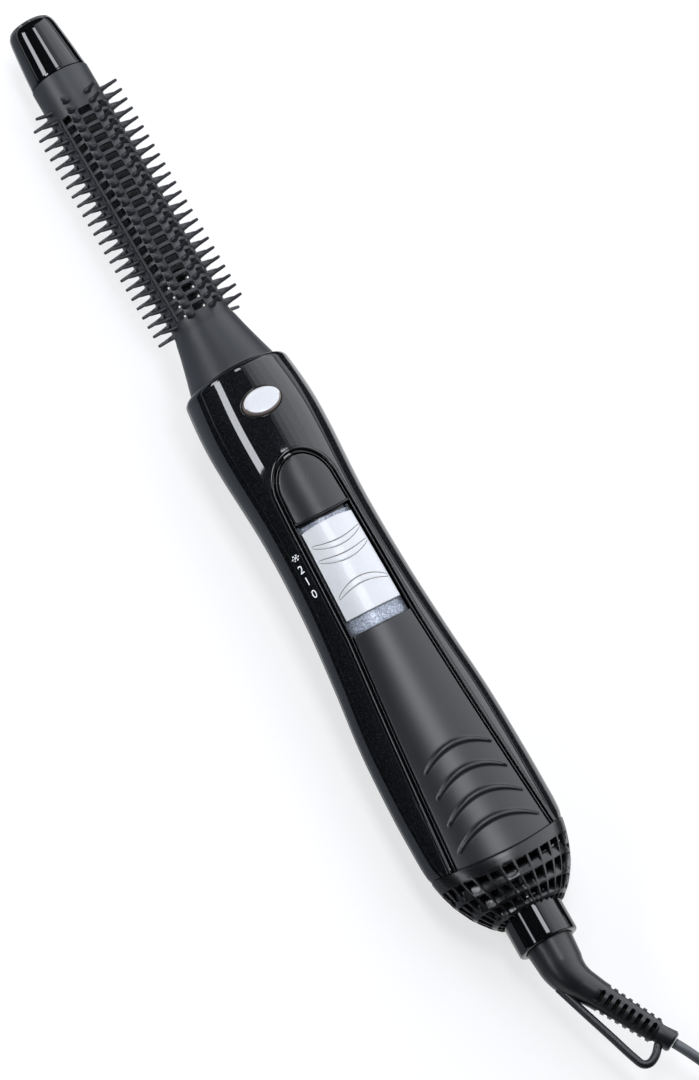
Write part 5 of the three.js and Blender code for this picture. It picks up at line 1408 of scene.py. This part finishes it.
for point in grille.data.vertices:
    inner = point.co.z < -DOME_WALL / 2
    if inner and any(abs(point.co.x - end) < ON_EDGE for end in slot_ends):
        point.co.x -= RAMP if math.sin(point.co.y / SHEET_ROUND) > RAMP_CHANGE else REAR_RAMP
    point.co = on_dome(point.co.x / SHEET_LONG, point.co.y / SHEET_ROUND, DOME_WALL if inner else 0)
alone(grille)
bpy.ops.object.mode_set(mode="EDIT")
clean()
bpy.ops.object.mode_set(mode="OBJECT")
modify(grille, "BEVEL", width=0.16, segments=2, limit_method="ANGLE", angle_limit=math.radians(50))
finish_piece(grille, GRILLE_ABS, "handle", nodes=["intake_grille"], angle=40)

# %% [markdown]
# The collar is a short polished tube whose bore holds the strain relief's neck.

# %% The collar
COLLAR_BORE, NECK_RADIUS = 8.35, 5.3
collar = lathe("cord_collar_tube", [
    (334, COLLAR_BORE), (334, COLLAR_RADIUS), (341, COLLAR_RADIUS), (348.3, COLLAR_RADIUS),
    (348.7, COLLAR_RADIUS - 0.1), (348.95, COLLAR_RADIUS - 0.3), (349.1, COLLAR_RADIUS - 0.65),
    (349.1, COLLAR_BORE + 0.15), (348.9, COLLAR_BORE), (340, COLLAR_BORE), (340, NECK_RADIUS + GAP),
    (338, NECK_RADIUS + GAP), (338, COLLAR_BORE), (334, COLLAR_BORE),
], 96)
finish_piece(collar, GLOSS, "handle", nodes=["cord_collar"])

# %% [markdown]
# The strain relief turns in the collar: a soft tapered sleeve with rows of slots that let it bend.
# Its skin is a grid along and round the bent line. Each slot is a dent with round ends, and its
# inside is painted shade, a rough near-black, so that it looks as deep as an open one. The hanging
# loop is a rod bent out of the sleeve.

# %% The strain relief and its hanging loop
RELIEF_RADII = [
    (0, 8.05), (1.2, 7.98), (8, 7.45), (12.5, 6.6), (17.5, 5.55), (23.2, 5.0), (45.5, 4.35), (46.4, 3.8),
    (51.4, 3.75), (52.2, 3.1), (53, 1.9),
]
SLOT_COUNT, FIRST_SLOT, SLOT_PITCH, SLOT_HALF, SLOT_DEPTH, SLOT_LONG = 8, 24.9, 2.8, 0.7, 2.5, 4.9
SLOT_TURN = 107
RELIEF_AROUND = 96
relief_slots = [(FIRST_SLOT + (k + 0.5 * row) * SLOT_PITCH, SLOT_TURN + 90 * row)
                for k in range(SLOT_COUNT) for row in (0, 2)]
relief_slots += [(FIRST_SLOT + (k + 0.5) * SLOT_PITCH, SLOT_TURN + 90 * row)
                 for k in range(SLOT_COUNT) for row in (1, 3)]
# the slots' insides: painted shade, so rough and dark that hardly any light comes back, as from an open slot
SLOT_PAINTED_SHADE = satin_plastic("painted_shade_in_slots", "#030304", "#050506", 0.85, 0.3, 0.02)
SLOT_RINGS = (-0.72, -0.6, -0.3, 0, 0.3, 0.6, 0.72)
PLAIN_PITCH, EXTRA_RINGS = 1.5, {46.0, 51.8}
relief_marks = {at for at, _ in RELIEF_RADII} | {PLAIN_PITCH * k for k in range(1, 16)} | EXTRA_RINGS
for k in range(2 * SLOT_COUNT):
    middle = FIRST_SLOT + k * SLOT_PITCH / 2
    relief_marks |= {middle + shift for shift in SLOT_RINGS}
relief_marks = sorted(at for at in relief_marks if at < RELIEF_LENGTH)


def relief_radius(distance):
    """The sleeve's radius, so far from the collar's end."""
    for (a, radius_a), (b, radius_b) in zip(RELIEF_RADII, RELIEF_RADII[1:]):
        if distance <= b:
            return lerp(radius_a, radius_b, (distance - a) / (b - a))
    return RELIEF_RADII[-1][1]


def dent(distance, turn, radius):
    """How deep the slots are at a place: full inside, nothing outside, with a steep wall between."""
    deepest = 0
    for middle, side in relief_slots:
        if abs(distance - middle) < 1:
            sideways = abs((turn - side + 180) % 360 - 180)
            beyond = max(math.radians(sideways) * radius - (SLOT_LONG / 2 - SLOT_HALF), 0)
            outside = math.hypot(beyond, distance - middle) - SLOT_HALF
            deepest = max(deepest, smoothstep(0.5 - outside / 0.12))
    return SLOT_DEPTH * deepest


def relief_point(i, j):
    last = len(relief_marks)
    distance = relief_marks[min(max(i - 1, 0), last - 1)]
    turn = 360 * j / RELIEF_AROUND
    radius = 0 if i in (0, last + 1) else relief_radius(distance)
    if radius:
        radius -= dent(distance, turn, radius)
    middle, bend = relief_frame(distance)
    sideways = Vector((-math.sin(bend), math.cos(bend), 0))
    upwards = Vector((0, 0, math.sin(math.radians(turn))))
    return middle + radius * (sideways * math.cos(math.radians(turn)) + upwards)


relief = skin("relief_sleeve", len(relief_marks) + 1, RELIEF_AROUND, relief_point, close=True)
SLOT_SEEN = 1  # a face this far under the sleeve's radius is inside a slot
sleeve_line = [(0.5 * k, relief_frame(0.5 * k)[0]) for k in range(40, 94)]


def in_slot(face):
    """Whether a face lies inside one of the sleeve's slots."""
    distance, middle = min(sleeve_line, key=lambda place: (place[1] - face.center).length)
    return (face.center - middle).length < relief_radius(distance) - SLOT_SEEN


relief.data.materials.append(PVC_SOFT)
# painted shade: the faces deep inside the slots get the near-black
paint_faces(relief, SLOT_PAINTED_SHADE, in_slot)
neck = lathe("relief_neck", [
    (335.5, 0), (335.5, NECK_RADIUS), (336.2, NECK_RADIUS), (336.2, 4.6), (337.8, 4.6), (337.8, NECK_RADIUS),
    (340.3, NECK_RADIUS), (340.3, 8.05), (349.3, 8.05), (349.3, 0),
], 32)
LOOP_ROD = 1.45
LOOP_ROUTE = [
    (363.5, -4.6, 0), (373.7, -1.3, 0), (385, 2.5, 0), (395, 5.8, 0), (398.2, 7.3, 0), (398.9, 9.4, 0),
    (397.6, 12.2, 0), (394.6, 15, 0),
]
loop_line = smooth_line(LOOP_ROUTE, 6)
loop = tube("hanging_loop", loop_line, [LOOP_ROD] * len(loop_line), 16)
for part in (neck, loop):
    part.data.materials.append(PVC_SOFT)
relief = joined("relief_with_loop", [relief, neck, loop])
finish_piece(relief, PVC_SOFT, "cord_swivel", nodes=["strain_relief"], angle=45)

# %% [markdown]
# ## What is inside
# The pieces inside keep the CAD model's own shapes and only get their finishes. They show through
# the grille's slots and the barrel's windows, and when the handle is taken apart.

# %% Finishes of the inner pieces
# glass-filled nylon of the latch, the carriage, the fan and what holds the motor: a dull black
NYLON = satin_plastic("glass_filled_nylon", "#0f1012", "#191a1d", 0.5, 0.5, 0.02)
# the switch body and the fuse: off-white
WHITE_PBT = satin_plastic("white_pbt", "#d4d2cb", "#e2e0da", 0.45, 0.4, 0.008)
# the circuit board: brown paper laminate with a faint cloudiness
BOARD = satin_plastic("paper_laminate_board", "#6d5a33", "#85703f", 0.5, 0.6, 0.01)
# the heater's boards and liner: pale and cloudy
MICA = satin_plastic("mica_sheet", "#8d8169", "#b5a88c", 0.3, 2.5, 0.03)
# the heater's wire: a brownish grey
NICHROME = metal("nichrome_wire", "#6a625a", "#8b8279", 0.4, 0.8)
# the shell's screws, and the diodes' dark bodies
DARK_STEEL = metal("phosphated_steel", "#3a3b3d", "#55575a", 0.38, 0.9)
# the inner leads' black silicone
LEAD = satin_plastic("silicone_lead", "#16171a", "#1e1f23", 0.5, 0.5, 0.01)
INNER_FINISHES = {
    NYLON: ["air_guide_core", "release_latch", "switch_carriage", "motor_mount", "fan", "motor_end_cap"],
    WHITE_PBT: ["switch_body", "thermal_fuse"],
    BOARD: ["circuit_board"],
    MICA: ["mica_liner", "mica_board_upright", "mica_board_flat"],
    NICHROME: ["heater_wire"],
    STEEL: ["tip_screw", "button_spring", "motor_can", "motor_shaft", "retaining_clip", "thermostat"],
    DARK_STEEL: ["shell_screw_1", "shell_screw_2", "diode_1", "diode_2", "diode_3", "diode_4"],
    LEAD: ["inner_lead_left", "inner_lead_right"],
}
for material, names in INNER_FINISHES.items():
    for name in names:
        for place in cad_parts[name].material_slots:
            place.material = material

# %% [markdown]
# ## Light
# The handle is a dark mirror, so its look is the look of the lamps in it. Long strips run beside
# the brush, each at an angle round its axis: bright ones left of the camera, others just right of
# it over the barrel and the grip, and side by side on the right a row of soft ones that brighten
# outwards, so that together they are one wide box. The room itself is nearly dark.

# %% Lamps and room
LAMP_DISTANCE = 0.5
AXIS_HEIGHT = CHORD_HEIGHT * MM
LAMP_COLOUR, ROOM_LIGHT = "#f5f8ff", 0.02


def strip_lamp(name, turns, places, radiance, distance=LAMP_DISTANCE):
    """An area lamp beside the brush, between two angles from the camera and two places along it."""
    turn = math.radians(sum(turns) / 2)
    wide = 2 * distance * math.tan(math.radians(turns[1] - turns[0]) / 2)
    long = places[1] - places[0]
    out = math.cos(turn) * Vector((0, -math.sin(ROLL), math.cos(ROLL))) + math.sin(turn) * across
    side = out.cross(Vector((1, 0, 0)))
    bpy.ops.object.light_add(type="AREA")
    lamp = bpy.context.object
    lamp.name = name
    lamp.data.shape = "RECTANGLE"
    lamp.data.size, lamp.data.size_y = long, wide
    lamp.data.energy = radiance * math.pi * long * wide
    lamp.data.color = linear(LAMP_COLOUR)[:3]
    turn_matrix = Matrix((Vector((1, 0, 0)), side, out)).transposed().to_4x4()
    middle = Vector((sum(places) / 2, 0, AXIS_HEIGHT)) + out * distance
    lamp.matrix_world = Matrix.Translation(middle) @ turn_matrix
    return lamp


strip_lamp("tip_left_strip", (-49, -33), (-0.56, -0.31), 11)
strip_lamp("handle_left_strip", (-40, -27), (-0.31, -0.078), 13)
strip_lamp("collar_left_strip", (-44, -37), (0.05, 0.22), 7, 0.25)
strip_lamp("barrel_strip", (10, 22), (-0.56, -0.28), 9.5)
strip_lamp("grip_strip", (11, 24), (-0.08, 0.16), 10)
strip_lamp("right_box_tip", (25, 40), (-0.6, -0.38), 1.2)
strip_lamp("right_box_edge", (24, 30), (-0.38, 0.4), 0.5)
strip_lamp("right_box_inner", (30, 40), (-0.38, 0.4), 1.4)
strip_lamp("right_box_second", (40, 50), (-0.6, 0.4), 2.0)
strip_lamp("right_box_middle", (50, 67), (-0.6, 0.4), 2.4)
strip_lamp("right_box_outer", (67, 84), (-0.6, 0.4), 2.8)
strip_lamp("right_box_low", (84, 100), (-0.6, 0.4), 2.9)

world = bpy.data.worlds.new("dim_room")
bpy.context.scene.world = world
world.use_nodes = True
world.node_tree.nodes["Background"].inputs["Color"].default_value = linear("#ffffff")
world.node_tree.nodes["Background"].inputs["Strength"].default_value = ROOM_LIGHT

# %% [markdown]
# The floor is matt white. Most of its white is its own where the camera, a reflection or a
# see-through surface looks at it, as on a lit sheet of milk glass, and the rest is the light that
# falls on it, so the brush's shadow stays but is faint.

# %% The floor
FLOOR_OWN_LIGHT, FLOOR_SIZE, FLOOR_SINK = 0.6, 6, 0.0004


def lit_sheet(material, shader, colour):
    """Adds the sheet's own light, which only camera, glossy and transmission rays see."""
    rays = add_node(material, "ShaderNodeLightPath")
    seen = rays.outputs["Is Camera Ray"]
    for kind in ("Is Glossy Ray", "Is Transmission Ray"):
        either = add_node(material, "ShaderNodeMath", {0: seen, 1: rays.outputs[kind]}, operation="MAXIMUM")
        seen = either.outputs[0]
    share = add_node(material, "ShaderNodeMath", {0: seen, 1: FLOOR_OWN_LIGHT}, operation="MULTIPLY")
    glow = add_node(material, "ShaderNodeEmission", {"Color": linear(colour), "Strength": 1.0})
    mixed = add_node(material, "ShaderNodeMixShader", {
        "Fac": share.outputs[0], 1: shader.outputs["BSDF"], 2: glow.outputs["Emission"],
    })
    output = material.node_tree.nodes["Material Output"]
    material.node_tree.links.new(mixed.outputs["Shader"], output.inputs["Surface"])


bpy.ops.mesh.primitive_plane_add(size=FLOOR_SIZE, location=(0, 0, -FLOOR_SINK))
floor = bpy.context.object
floor.name = "studio_floor"
FLOOR_PAINT, floor_shader = new_material("matt_white_floor", Base_Color="#fbfbfb", Roughness=0.9)
lit_sheet(FLOOR_PAINT, floor_shader, "#ffffff")
floor.data.materials.append(FLOOR_PAINT)

# %% [markdown]
# A gloss black thing beside a white floor loses its edges in it. A product photographer lays
# flags, dark cards, beside it: a black one on the right draws the thin dark line inside the pale
# rim, a grey one on the left keeps that side soft, and a black one lies beyond it. A photographer
# would keep them out of the picture. These lie close beside the brush, and only reflections see
# them: they are hidden from the camera and cast no shadow.

# %% The flags
FLAG_PLACES, FLAG_LIFT = [-60, 110, 135, 300, 322, 380], 1


def flag(name, near, far, colour):
    """A card on the floor beside the object, from near to far across at the flag places."""
    sheet = skin(name, len(FLAG_PLACES) - 1, 1, lambda i, j: ON_HANDLE @ Vector((
        FLAG_PLACES[i], (near, far)[j][i], FLAG_LIFT - CHORD_HEIGHT,
    )))
    paper, paper_shader = new_material(name + "_paper", Base_Color=colour, Roughness=1, Specular_IOR_Level=0)
    fibre = grain(paper, 0.5)
    bump(paper, paper_shader, fibre.outputs["Fac"], 0.02)
    sheet.data.materials.append(paper)
    for kind in ("camera", "diffuse", "transmission", "shadow"):
        setattr(sheet, "visible_" + kind, False)


flag("black_flag_right", [29, 33, 62, 71, 46, 40], [110, 130, 330, 360, 170, 140], "#020202")
flag("grey_flag_left", [-15, -16, -26, -31, -24, -16], [-110] * 6, "#a0a4aa")
flag("black_flag_left", [-110] * 6, [-1500] * 6, "#020202")
